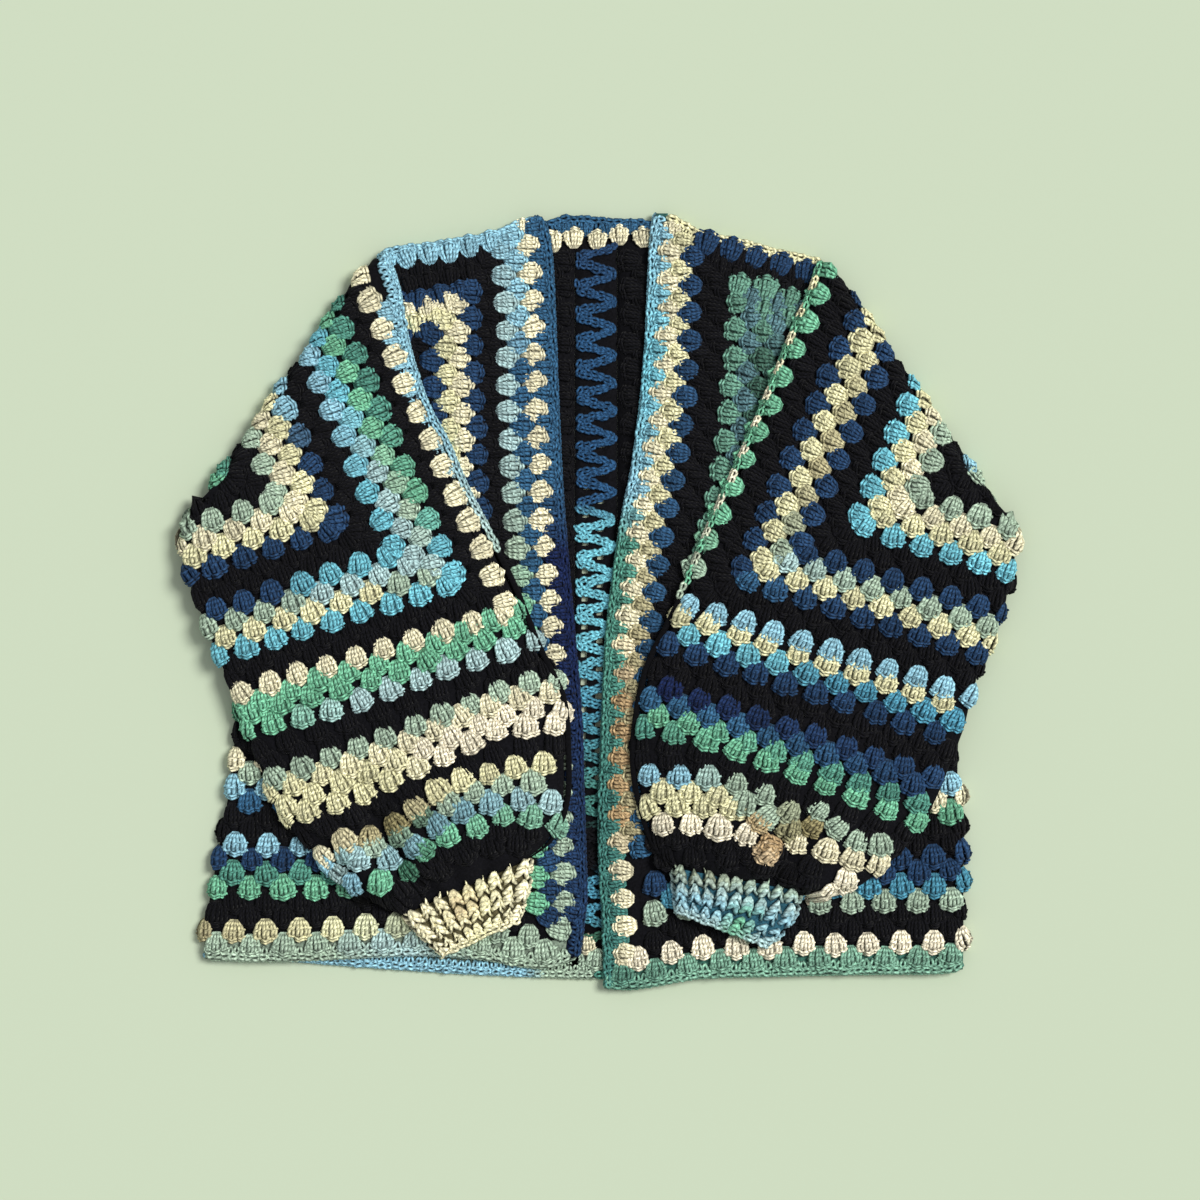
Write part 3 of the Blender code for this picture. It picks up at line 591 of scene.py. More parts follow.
# %% Sleeve tables
WALL = 0.004
LAYER_GAP = 0.0005
SEAM_GAP = 0.0003
SINK = 0.0013
FRONT_LOW = WALL + LAYER_GAP
BODY_TOP = FRONT_LOW + WALL
SLEEVE_LOW = BODY_TOP + LAYER_GAP
FOLD_RADIUS = WALL + LAYER_GAP / 2
SLIT_RADIUS = LAYER_GAP / 2
HINGE_HEIGHT = BODY_TOP + LAYER_GAP / 2
SEAM_WIDTH = 0.005

Crease = namedtuple("Crease", "start start_across end end_across spread height")


def metres(*rows):
    """A table in millimetres, in metres."""
    return np.array(rows) * MM


LEFT_SLEEVE_RINGS = metres(
    (-283.8, 76.6, -157.3, 255.7, 0), (-295.6, 73.6, -149.1, 233.5, 0),
    (-302.3, 64.8, -145.4, 211.3, 1), (-307.5, 52.9, -140.2, 185.4, 2),
    (-309, 39.6, -128.4, 148.4, 3), (-306, 17.4, -112.1, 117.3, 3),
    (-297.1, -8.5, -97.3, 83.2, 4), (-283.1, -44, -76.6, 44, 4), (-271.2, -71.4, -58.8, 7.8, 5),
    (-260.9, -99.5, -42.5, -32.9, 6), (-250.5, -129.1, -24.8, -69.9, 8),
    (-234.9, -158.7, -21.1, -106.9, 11), (-209.1, -190.6, -21.8, -147.6, 14),
    (-183.9, -214.2, -32.9, -175.8, 12), (-145.4, -232, -52.2, -190.6, 3),
)
RIGHT_SLEEVE_RINGS = metres(
    (288.6, 63.6, 159.9, 248.3, 0), (300.8, 62.5, 153.6, 228.3, 0), (306, 54.4, 145.4, 210.5, 1),
    (309.4, 42, 136.5, 189.1, 2), (305.3, 24, 126.2, 163.2, 3), (300.8, 6.3, 112.1, 129.9, 3),
    (294.2, -15.9, 95.8, 92.9, 4), (284.5, -43.3, 78.8, 55.9, 4), (275.7, -67.7, 62.5, 16.6, 5),
    (270.5, -92.1, 47, -15.9, 6), (260.9, -118, 31.5, -47.7, 7), (249.8, -145.4, 23.3, -84.7, 9),
    (235, -172.8, 21.1, -121.7, 12), (210.5, -198, 27, -155, 14),
    (180.9, -216.5, 38.1, -183.2, 11), (146.9, -214.2, 54.4, -197.2, 3),
)
LEFT_CREASES = (
    Crease(1.02, 0.26, 0.7, 0.3, 0.07, -0.013),
    Crease(1, 0.5, 0.8, 0.47, 0.06, -0.005),
    Crease(1, 0.72, 0.84, 0.66, 0.05, -0.005),
    Crease(0.95, 0.1, 0.8, 0.14, 0.09, 0.005),
    Crease(0.62, 0.05, 0.5, 0.55, 0.1, -0.002),
)
RIGHT_CREASES = (
    Crease(1.02, 0.34, 0.74, 0.42, 0.07, -0.013),
    Crease(1, 0.62, 0.82, 0.6, 0.06, -0.005),
    Crease(1, 0.82, 0.84, 0.78, 0.05, -0.004),
    Crease(0.96, 0.2, 0.86, 0.1, 0.1, 0.006),
    Crease(0.6, 0.04, 0.47, 0.5, 0.1, -0.002),
)
print(len(LEFT_SLEEVE_RINGS), "and", len(RIGHT_SLEEVE_RINGS), "rings of the sleeves")

# %% [markdown]
# A sleeve is a flattened tube. Its cut is drawn as one closed line: over the top, round the fold at
# the seam, back underneath and round the fold under the arm. Above the armhole the whole tube turns
# over like a hinge, because the sleeve is folded forward there.

# %% Sleeve surface
SLEEVE_COLUMNS = 30
SLEEVE_RINGS = 52
HINGE_STEPS = 6
TURN_STEPS = 6


def crown(puff, creases, along, across):
    """Height of the sleeve's upper layer above its flat state, along one ring."""
    arch = np.where((across > 0) & (across < 1), np.sin(math.pi * across), 0)
    arch = np.maximum(arch, 0) ** 0.6
    lift = np.zeros_like(across)
    for crease in creases:
        t = (along - crease.start) / (crease.end - crease.start)
        if 0 < t < 1:
            centre = crease.start_across + (crease.end_across - crease.start_across) * t
            fade = min(1.0, 3 * (1 - t)) * min(1.0, 1 - t / 2)
            lift += crease.height * fade * np.exp(-(((across - centre) / crease.spread) ** 2))
    shaped = puff * arch + lift * np.minimum(1.0, 2 * arch)
    return np.where(arch > 0, np.hypot(shaped, 0.0005) / 2 + shaped / 2, 0)


def tube_cut(width, rise):
    """Outer and inner outline of a flattened tube, as distance, height and flat distance."""
    run = FOLD_RADIUS + (width - 2 * FOLD_RADIUS) * np.linspace(0, 1, len(rise))
    top = 2 * FOLD_RADIUS + rise
    turn = np.linspace(0, math.pi, TURN_STEPS + 1)[1:-1]

    def turned(reach, centre, sign):
        angle = math.pi / 2 - sign * turn
        return np.stack([centre + reach * np.cos(angle), FOLD_RADIUS + reach * np.sin(angle),
                         centre + sign * FOLD_RADIUS * turn], -1)

    cuts = []
    for over, under, reach in ((top - SINK, 0.0, FOLD_RADIUS - SINK),
                               (top - WALL, WALL, SLIT_RADIUS)):
        back = run[::-1]
        cuts.append(np.concatenate([
            np.stack([run, over, run], -1), turned(reach, width - FOLD_RADIUS, 1),
            np.stack([back, np.full_like(back, under), np.full_like(back, np.nan)], -1),
            turned(reach, FOLD_RADIUS, -1)[::-1]]))
    return cuts


def ring_frame(ring):
    """Start, direction and width of the tube at a ring."""
    span = ring[2:4] - ring[0:2]
    reach = np.linalg.norm(span)
    return ring[0:2], span / reach, reach - SEAM_WIDTH - SEAM_GAP


def sleeve_rows(rings, creases, out):
    """Outer and inner rows of the sleeve in space, and its upper side laid flat."""
    start, along, width = ring_frame(rings[0])
    outward = np.array([along[1], -along[0]]) * out
    upper = range(-(TURN_STEPS - 1), SLEEVE_COLUMNS + 1 + TURN_STEPS // 2)
    rows = []

    def stand(cut, start, along, turn):
        arm = cut[:, 1:2] + SLEEVE_LOW - HINGE_HEIGHT
        spot = start + along * cut[:, 0:1] + outward * arm * math.sin(turn)
        return np.concatenate([spot, HINGE_HEIGHT + arm * math.cos(turn)], -1)

    def add(start, along, width, rise, turn):
        outer, inner = tube_cut(width, rise)
        placed = stand(outer, start, along, turn)
        beyond = outward * (FOLD_RADIUS * 2 + SLIT_RADIUS) * turn
        rows.append((placed, stand(inner, start, along, turn),
                     (start + along * outer[:, 2:3])[upper] + beyond, placed[upper]))

    for step in range(HINGE_STEPS, 0, -1):
        add(start, along, width, np.zeros(SLEEVE_COLUMNS + 1), math.pi * step / HINGE_STEPS)
    share = np.linspace(0, 1, SLEEVE_COLUMNS + 1)
    for position in np.linspace(0, 1, SLEEVE_RINGS + 1):
        ring = spline(rings, position)
        add(*ring_frame(ring), crown(ring[4], creases, position, share), 0.0)
    return map(np.array, zip(*rows))


def wall(outer, inner, closed, absent):
    """Faces of a cloth wall between two grids of points, open cells closed by walls."""
    rows, points = outer.shape[:2]
    columns = points if closed else points - 1
    present = np.ones((rows - 1, columns), bool)
    if absent is not None:
        present &= ~absent
    second = rows * points
    faces = []
    for row, column in np.argwhere(present):
        after = (column + 1) % points
        a, b = row * points + column, row * points + after
        c, d = b + points, a + points
        faces += [(a, b, c, d), (d + second, c + second, b + second, a + second)]
        for near_row, near_column, start, end in (
            (row - 1, column, a, b), (row, column + 1, b, c),
            (row + 1, column, c, d), (row, column - 1, d, a),
        ):
            if closed:
                near_column %= columns
            inside = 0 <= near_row < rows - 1 and 0 <= near_column < columns
            if not inside or not present[near_row, near_column]:
                faces.append((end, start, start + second, end + second))
    return np.concatenate([outer.reshape(-1, 3), inner.reshape(-1, 3)]), np.array(faces)


def add_cloth(name, points, faces, colour, node):
    """A ground cloth from used points only, its faces turned to give a positive volume."""
    a, b, c, d = (points[faces[:, k]] for k in range(4))
    if (np.cross(a, b) * c).sum() + (np.cross(a, c) * d).sum() <= 0:
        faces = faces[:, ::-1]
    used, faces = np.unique(faces, return_inverse=True)
    faces = faces.reshape(-1, 4)
    form = Pattern(points[used], faces, np.full((len(faces), 4, 2), 0.3), colour)
    return add_piece(name, form, ground_wool, [node])


def add_ground(name, outer, inner, slot, node, dye="black", closed=False, absent=None,
               shade=0.9):
    """The dark ground cloth of a piece, a closed wall; its dye times shade is painted shade between
    the stitches.
    """
    points, faces = wall(outer, inner, closed, absent)
    # The dye darkened by shade stands as painted shade in the gaps between the stitches.
    return add_cloth(name, points, faces, DYES[dye] * shade, node)


sleeves = {}
for name, rings, creases, out in (
    ("left", LEFT_SLEEVE_RINGS, LEFT_CREASES, -1), ("right", RIGHT_SLEEVE_RINGS, RIGHT_CREASES, 1),
):
    outer, inner, flat, upper = sleeve_rows(rings, creases, out)
    sleeves[name] = LaidCloth(flat, upper)
    add_ground(f"{name}_sleeve_ground", outer, inner, "cluster_fabric", f"{name}_sleeve",
               closed=True)

# %% [markdown]
# ## The rows of the sleeves
#
# Each hexagon was worked from its centre, which lies at the underarm, in rounds with a corner. So
# every stripe runs down beside the seam, turns at a corner and goes back across the arm. Below
# that, the rows go straight across, and near the cuff they bend with the gathers. The rounds
# follow from a centre, two directions and a step; the lower rows are given by their colours, a
# count of clusters and a few points, in millimetres.

# %% Rounds and rows
PITCH = 22.2
CORNER_HALF = 6.6
CORNER_LEAN = 0.3
LEG_LENGTHS = (300, 330)
LAST_ROUND = 16

Row = namedtuple("Row", "dyes count points")
Rounds = namedtuple("Rounds", "centre column row step shifts dyes")

LEFT_ROUNDS = Rounds(
    (-294.9, 101.0), (-0.41, 0.91), (-0.957, -0.29), (14.50, -6.73), {16: 5.4}, {
        1: ("teal_green 40 green", "green"),
        4: ("sage", "sage"),
        5: ("cream", "cream"),
        6: ("yellow_cream", "yellow_cream"),
        7: ("navy 70 navy 96 light_blue", "navy"),
        10: ("turquoise 60 turquoise 110 light_blue", "turquoise 66 turquoise 90 navy"),
        11: ("frost 70 frost 130 turquoise", "frost 80 frost 98 sage"),
        12: ("frost 50 sage 120 green", "sage 30 sage 50 yellow_cream"),
        13: ("turquoise 30 turquoise 60 green 140 teal_green", "turquoise"),
        16: ("cream", "cream"),
    })
RIGHT_ROUNDS = Rounds(
    (289.0, 103.2), (0.41, 0.91), (0.952, -0.305), (-14.35, -6.58), {16: -2.0}, {
        1: ("light_blue", "sage"),
        4: ("sage", "sage"),
        5: ("cream", "cream"),
        6: ("yellow_cream", "yellow_cream"),
        7: ("turquoise", "turquoise"),
        10: ("navy", "navy"),
        11: ("sage 60 khaki 200 yellow_cream", "frost 60 sage"),
        12: ("yellow_cream", "yellow_cream"),
        13: ("navy", "mid_blue 60 navy"),
        16: ("light_blue 24 sage 60 green", "light_blue"),
    })
LEFT_ROWS = (
    Row("green", 10, ((-250, -75), (-207, -59), (-142, -39), (-58, -5))),
    Row("green", 10, ((-256, -83), (-191, -64), (-149, -52), (-65, -20))),
    Row("green 60 frost", 10, ((-242, -91), (-196, -80), (-134, -58), (-48, -29))),
    Row("black", 10, ((-253, -112), (-55, -43))),
    Row("black", 11, ((-241, -120), (-38, -49))),
    Row("sage", 11, ((-241, -131), (-177, -107), (-114, -83), (-52, -60), (-32, -59))),
    Row("yellow_cream 90 cream", 10,
        ((-226, -134), (-162, -113), (-123, -95), (-81, -77), (-38, -67))),
    Row("yellow_cream 80 yellow_cream 110 pale_cream", 11,
        ((-231, -151), (-191, -134), (-148, -117), (-111, -100), (-69, -84), (-48, -79),
         (-28, -81))),
    Row("yellow_cream 70 yellow_cream 110 pale_cream", 10,
        ((-215, -155), (-175, -142), (-137, -124), (-99, -106), (-78, -95), (-54, -92),
         (-34, -91))),
    Row("black", 10,
        ((-233, -169), (-193, -156), (-148, -138), (-97, -119), (-52, -106), (-33, -104))),
    Row("black", 10,
        ((-222, -176), (-189, -162), (-145, -144), (-97, -125), (-52, -112), (-33, -109))),
    Row("cream 30 khaki 60 olive 75 khaki 110 yellow_cream", 10,
        ((-204, -189), (-185, -175), (-170, -174), (-154, -168), (-140, -157), (-125, -143),
         (-107, -134), (-86, -128), (-63, -122), (-43, -120))),
    Row("light_blue 45 sage 80 dark_green 100 sage", 9,
        ((-206, -196), (-189, -185), (-174, -183), (-158, -176), (-145, -171), (-133, -159),
         (-117, -151), (-94, -142), (-74, -136), (-51, -134))),
    Row("frost 70 grey_blue 120 grey_blue 190 frost", 9,
        ((-196, -201), (-185, -191), (-167, -191), (-142, -183), (-122, -166), (-102, -155),
         (-81, -149), (-62, -146), (-37, -148))),
    Row("light_blue 22 light_blue 40 green 70 dark_green 100 green 200 sea_green", 10,
        ((-204, -202), (-188, -208), (-168, -208), (-141, -199), (-128, -178), (-109, -171),
         (-88, -164), (-71, -157), (-52, -159), (-31, -165))),
    Row("black", 9,
        ((-184, -219), (-165, -222), (-145, -211), (-128, -194), (-110, -183), (-89, -174),
         (-71, -168), (-51, -171), (-33, -176))),
    Row("black", 8,
        ((-169, -231), (-152, -226), (-134, -208), (-115, -196), (-97, -186), (-76, -179),
         (-58, -180), (-41, -186))),
)
RIGHT_ROWS = (
    Row("yellow_cream", 10, ((59, -10), (253, -75))),
    Row("turquoise 66 turquoise 100 teal_blue", 10, ((65, -26), (260, -88))),
    Row("navy", 9, ((71, -39), (245, -97))),
    Row("black", 10, ((75, -51), (255, -111))),
    Row("black", 10, ((58, -57), (245, -119))),
    Row("dark_navy 200 navy", 10, ((51, -65), (245, -130))),
    Row("mid_blue 60 mid_blue 200 navy", 10, ((37, -72), (231, -134))),
    Row("green 150 teal_green", 10,
        ((43, -85), (66, -91), (110, -105), (151, -119), (191, -134), (233, -148))),
    Row("teal_green 60 green", 10,
        ((31, -94), (74, -102), (116, -116), (159, -132), (198, -148), (233, -162))),
    Row("black", 10,
        ((27, -105), (66, -111), (109, -124), (151, -140), (185, -157), (225, -171))),
    Row("black", 10,
        ((29, -117), (66, -120), (109, -133), (148, -148), (181, -164), (218, -181))),
    Row("light_blue 25 light_blue 50 sage 95 sage 120 olive", 7,
        ((36, -129), (59, -130), (82, -131), (106, -137), (125, -146), (139, -157), (156, -166))),
    Row("yellow_cream 40 yellow_cream 60 sage 80 sage 105 olive", 6,
        ((45, -140), (68, -142), (92, -146), (115, -153), (128, -165), (139, -169))),
    Row("yellow_cream 70 yellow_cream 90 tan", 6,
        ((34, -153), (56, -150), (78, -152), (103, -155), (121, -166), (125, -181))),
    Row("pale_cream 68 pale_cream 85 tan", 5,
        ((46, -165), (67, -165), (88, -167), (109, -173), (122, -185))),
    Row("black", 5, ((38, -176), (66, -176), (88, -179), (109, -185))),
    Row("black", 4, ((46, -189), (74, -188), (100, -191), (118, -195))),
    Row("sage", 3, ((174, -167), (187, -177), (206, -179))),
    Row("cream", 3, ((165, -184), (187, -190), (205, -193))),
    Row("black 30 black 42 pale_cream", 3, ((129, -186), (148, -194), (166, -201), (181, -205))),
    Row("black 22 black 32 pale_cream", 3, ((137, -202), (154, -210), (168, -216))),
)


def across(way, toward):
    """The direction across a way, on the given side of it."""
    normal = np.array([-way[1], way[0]])
    return normal if normal @ np.asarray(toward, float) >= 0 else -normal


def angle(direction):
    return math.atan2(direction[1], direction[0])


def at(line, marks, distance):
    """The place at a distance along a line; marks are its points' own distances."""
    return np.stack([np.interp(distance, marks, axis) for axis in np.transpose(line)], -1)


def rounds_of(rounds):
    """Every cluster of the cornered rounds, flat, in metres."""
    stitches = []
    column_way, row_way = np.array(rounds.column), np.array(rounds.row)
    for number in range(1, LAST_ROUND + 1):
        corner = np.array(rounds.centre) + number * np.array(rounds.step)
        corner = (corner + row_way * rounds.shifts.get(number, 0.0)) * MM
        dyes = rounds.dyes.get(number, ("black", "black"))
        for way, other, row, length in zip((column_way, row_way), (row_way, column_way), dyes,
                                           LEG_LENGTHS):
            distance = CORNER_HALF
            while distance < length:
                lean = CORNER_LEAN if distance == CORNER_HALF else 0.0
                heading = angle(across(way, -other) - lean * (way + other))
                stitches.append(Stitch(*(corner + way * distance * MM), heading,
                                       dye_at(row, distance)))
                distance += PITCH
    return stitches


def rows_of(table, centre):
    """Every cluster of the lower rows, growing away from the centre of the hexagon."""
    stitches = []
    for row in table:
        line = spline(row.points, np.linspace(0, 1, 12 * len(row.points)))
        marks = distances(line)
        for number in range(-1, row.count):
            distance = number * marks[-1] / (row.count - 1)
            inside = max(distance, 0.0)
            way = at(line, marks, inside + 4) - at(line, marks, inside - 4)
            way /= np.linalg.norm(way)
            place = at(line, marks, inside) + way * (distance - inside)
            heading = angle(across(way, place - np.array(centre)))
            stitches.append(Stitch(*(place * MM), heading, dye_at(row.dyes, inside)))
    return stitches


for name, rounds, rows in (("left", LEFT_ROUNDS, LEFT_ROWS), ("right", RIGHT_ROUNDS, RIGHT_ROWS)):
    dice = random.Random(f"{name} sleeve")
    stitches = sleeves[name].covered(rounds_of(rounds) + rows_of(rows, rounds.centre))
    form = lay_all(dealt(sleeves[name], stitches, dice), dice)
    add_piece(f"{name}_sleeve_clusters", form)
    print(len(stitches), "clusters on the", name, "sleeve")

# %% [markdown]
# ## The shape of the body
#
# Half a hexagon lies under as the back and half on top as the front, one cloth folded at the side.
# Each layer is filled in smoothly between its four edges, which follow the tables of the solid
# model. Where the garment is open at the armhole, the fold is left out.

# %% Body tables
FRONT_BAND_WIDTH = 0.0104
HEM_WIDTH = 0.018
UNDERARM_CLEARANCE = 0.004
JOIN_LEFT_X = -0.0189
JOIN_RIGHT_X = 0.0122
BACK_MIDDLE_X = -0.0034
NECK_LOW_Y = 0.2727

Side = namedtuple("Side", "name out rings join_x fold opening front_hem back_hem shoulder")

LEFT = Side(
    "left", -1, LEFT_SLEEVE_RINGS, JOIN_LEFT_X,
    fold=metres(
        (-294.2, -256), (-290.5, -221.6), (-283.8, -184.6), (-277.1, -147.6), (-272.7, -110.6),
        (-270.5, -73.6), (-280.1, -36.6), (-291.9, 0.4), (-297.1, 30), (-293.4, 55.9),
    ),
    opening=metres(
        (-15.9, -263.8), (-10.7, -221.6), (-11.5, -184.6), (-12.9, -140.2), (-14.4, -88.4),
        (-20.4, -14.4), (-27.8, 74.4), (-32.2, 163.2), (-33.7, 207.6), (-36.6, 259.4),
        (-42.5, 284.5),
    ),
    front_hem=metres(
        (-290, -265.5), (-244.6, -266.8), (-200.2, -265.3), (-133.6, -262.3), (-89.2, -265.3),
        (-44.8, -271.9), (-15.9, -263.8),
    ),
    back_hem=metres(
        (-290, -265.5), (-244.6, -266), (-185.4, -270.5), (-111.4, -275.6), (-30, -279.4),
        (-3.4, -280),
    ),
    shoulder=metres(
        (-157.3, 260.1), (-148.4, 262), (-126.2, 264.5), (-104, 267.5), (-81.8, 272),
        (-67, 277.9), (-53.3, 282.3),
    ),
)
RIGHT = Side(
    "right", 1, RIGHT_SLEEVE_RINGS, JOIN_RIGHT_X,
    fold=metres(
        (269.7, -260), (269.7, -225.3), (269, -184.6), (266, -147.6), (265.3, -121.7),
        (267.5, -88.4), (276.4, -51.4), (288.2, -14.4), (297.1, 22.6), (297.6, 44.8),
    ),
    opening=metres(
        (3.3, -286.8), (1.9, -240.1), (-0.4, -199.4), (-1.1, -158.7), (1.9, -69.9), (4.8, -21.8),
        (11.5, 32.9), (17.4, 69.9), (24.8, 107.7), (32.9, 181.7), (36.6, 259.4), (39.6, 286.8),
    ),
    front_hem=metres(
        (265, -273.5), (251.2, -275.6), (184.6, -276.4), (118, -277.9), (73.6, -279.4),
        (29.2, -286.8), (3.3, -286.8),
    ),
    back_hem=metres(
        (265, -273.5), (184.6, -273.5), (73.6, -277), (-3.4, -280),
    ),
    shoulder=metres(
        (159.5, 253), (132.8, 259), (103.2, 266.8), (78.1, 272), (66.2, 277.1), (50.3, 286),
    ),
)
NECK_EDGE = metres(
    (-48, 279), (-41.1, 280.1), (-30, 283.8), (-18.9, 284.5), (14.4, 282.3), (29.2, 281.6),
    (38.1, 280.1), (45, 279.5),
)
print("the fronts are", round((RIGHT.opening[5, 0] - LEFT.opening[5, 0]) / MM), "mm apart")

# %% Body surface
SIDE_ROWS = 26
ARMHOLE_ROWS = 6
SHOULDER_COLUMNS = 14
PANEL_COLUMNS = 18
HEM_ROWS = 3
FOLD_STEPS = 8


def smooth_line(points):
    return spline(points, np.linspace(0, 1, (len(points) - 1) * 8 + 1))


def even(line, count):
    """Points at even steps along a line, ends included."""
    marks = distances(line)
    return at(line, marks, np.linspace(0, marks[-1], count + 1))


def body_edges(side):
    """The side fold line and the armhole line of a half body."""
    underarm, along, length = ring_frame(side.rings[0])
    corner = underarm - np.array([along[1], -along[0]]) * side.out * SEAM_GAP
    start = corner - along * UNDERARM_CLEARANCE
    fold = side.fold - (side.out * FOLD_RADIUS, 0)
    fold[0, 1] = side.back_hem[0, 1] + HEM_WIDTH + SEAM_GAP
    return smooth_line([*fold, start]), np.array([start, corner + along * length])


def shoulder_edge(side):
    """Where the body meets the shoulder seam, from the armhole to the neck."""
    seam = smooth_line(side.shoulder[1:] - (0, SEAM_WIDTH + SEAM_GAP))
    return even([body_edges(side)[1][-1], *seam], SHOULDER_COLUMNS)


def joining_row(side, table, middle):
    """Where a layer of the body meets its hem, from the side to the middle."""
    lifted = table[1:-1] + (0, HEM_WIDTH + SEAM_GAP)
    return even(smooth_line([body_edges(side)[0][0], *lifted, middle]), PANEL_COLUMNS)


def filled(low_row, top_row, first_column, last_column):
    """A grid of points between four edges, following all of them."""
    u = np.linspace(0, 1, len(low_row))[None, :, None]
    v = np.linspace(0, 1, len(first_column))[:, None, None]
    corners = ((low_row[0] * (1 - u) + low_row[-1] * u) * (1 - v)
               + (top_row[0] * (1 - u) + top_row[-1] * u) * v)
    return (low_row * (1 - v) + top_row * v + first_column[:, None] * (1 - u)
            + last_column[:, None] * u - corners)


def body_layers(side):
    """The front and the back of a half body and of its hem, flat, from the side to the middle."""
    fold, armhole = body_edges(side)
    outer = np.concatenate([even(fold, SIDE_ROWS)[:-1], even(armhole, ARMHOLE_ROWS)])
    shoulder = shoulder_edge(side)
    band_edge = side.out * (FRONT_BAND_WIDTH + SEAM_GAP)
    low, high = side.front_hem[-1, 1] + HEM_WIDTH + SEAM_GAP, shoulder[-1, 1]
    line = smooth_line(side.opening + (band_edge, 0))
    kept = line[(line[:, 1] > low) & (line[:, 1] < high)]
    inner = even([(kept[0, 0], low), *kept, (kept[-1, 0], high)], SIDE_ROWS + ARMHOLE_ROWS)
    front_top = even([*shoulder[:-1], inner[-1]], PANEL_COLUMNS)
    back_low = np.array([side.join_x + side.out * SEAM_GAP,
                         side.back_hem[-1, 1] + HEM_WIDTH + SEAM_GAP])
    back_high = np.array([back_low[0], NECK_LOW_Y - SEAM_GAP])
    neck_corner = np.array([shoulder[-1, 0] - side.out * SEAM_WIDTH, back_high[1]])
    back_top = np.concatenate([
        shoulder, even([neck_corner, back_high], PANEL_COLUMNS - SHOULDER_COLUMNS - 1)])
    middle = np.linspace(back_low, back_high, SIDE_ROWS + ARMHOLE_ROWS + 1)
    front_low = joining_row(side, side.front_hem, inner[0])
    back_row = joining_row(side, side.back_hem, back_low)

    hems = []
    for table, upper, end_x in (
        (side.front_hem, front_low - (0, SEAM_GAP), side.opening[0, 0] + band_edge),
        (side.back_hem, back_row - (0, SEAM_GAP), BACK_MIDDLE_X + side.out * SEAM_GAP / 2),
    ):
        if table is side.back_hem:
            last = upper[-1] - upper[-2]
            upper[-1] += last * (end_x - upper[-1, 0]) / last[0]
        lower = even(smooth_line([*table[:-1], (end_x, table[-1, 1])]), PANEL_COLUMNS)
        hems.append(np.linspace(lower, upper, HEM_ROWS + 1))
    return (filled(front_low, front_top, outer, inner), filled(back_row, back_top, outer, middle),
            *hems)


def at_height(flat, height):
    return np.concatenate([flat, np.full((*flat.shape[:-1], 1), height)], -1)


def side_turn(edge, reach, turn, out):
    """The rounded fold of a cloth at its side, from below to above."""
    x = edge[:, :1, 0] + out * reach * np.sin(turn)
    z = np.broadcast_to(FOLD_RADIUS - reach * np.cos(turn), x.shape)
    return np.stack([x, np.broadcast_to(edge[:, :1, 1], x.shape), z], -1)


def fold_reach(turn):
    return FOLD_RADIUS - SINK * (1 - np.cos(turn)) / 2


def folded(front, back, out):
    """Outer and inner grids of a cloth folded at the side: back, fold, front."""
    turn = np.linspace(0, math.pi, FOLD_STEPS + 1)[1:-1]
    return [np.concatenate([at_height(back[:, ::-1], under), side_turn(back, reach, turn, out),
                            at_height(front, over)], axis=1)
            for under, reach, over in ((0.0, fold_reach(turn), BODY_TOP - SINK),
                                       (WALL - SINK, SLIT_RADIUS, FRONT_LOW))]


def front_cloth(front, hem, side):
    """The front with its hem and its side fold as a laid cloth."""
    rows = np.concatenate([hem[:1], front], axis=0)
    turn = np.linspace(0, math.pi, FOLD_STEPS + 1)[2:-1]
    turned = side_turn(rows, fold_reach(turn), turn, side.out)
    flat_x = rows[:, :1, 0] + side.out * FOLD_RADIUS * (math.pi - turn)
    flat = np.concatenate([np.stack([flat_x, turned[..., 1]], -1), rows], axis=1)
    return LaidCloth(flat, np.concatenate([turned, at_height(rows, BODY_TOP - SINK)], axis=1))


fronts = {}
for side in (LEFT, RIGHT):
    front, back, front_hem, back_hem = body_layers(side)
    outer, inner = folded(front, back, side.out)
    absent = np.zeros((outer.shape[0] - 1, outer.shape[1] - 1), bool)
    absent[SIDE_ROWS:, PANEL_COLUMNS:PANEL_COLUMNS + FOLD_STEPS] = True
    add_ground(f"{side.name}_body_ground", outer, inner, "cluster_fabric",
               f"{side.name}_body", absent=absent)
    # The hem ground is the hem's yarn at half strength: painted shade between its stitches.
    add_ground(f"{side.name}_hem_ground", *folded(front_hem, back_hem, side.out), "edging",
               f"{side.name}_hem", "sage" if side is LEFT else "teal_green", shade=0.5)
    fronts[side.name] = front_cloth(front, front_hem, side)

# %% [markdown]
# ## The rows of the fronts
#
# The same rounds show on the fronts. Beside the opening they run down as columns, and at the
# shoulder they turn a corner and follow the shoulder seam. Near the hem they run across. Only
# what the sleeves leave in view is worked, because a hidden cluster would have no room between
# the layers. So the outline of each sleeve and cuff is drawn first, and clusters deep inside it
# are left out.

# %% Front columns, corner rows and hem rows
Column = namedtuple("Column", "offset corner_y dyes row_dyes slide row_slide",
                    defaults=(0.0, 0.0))

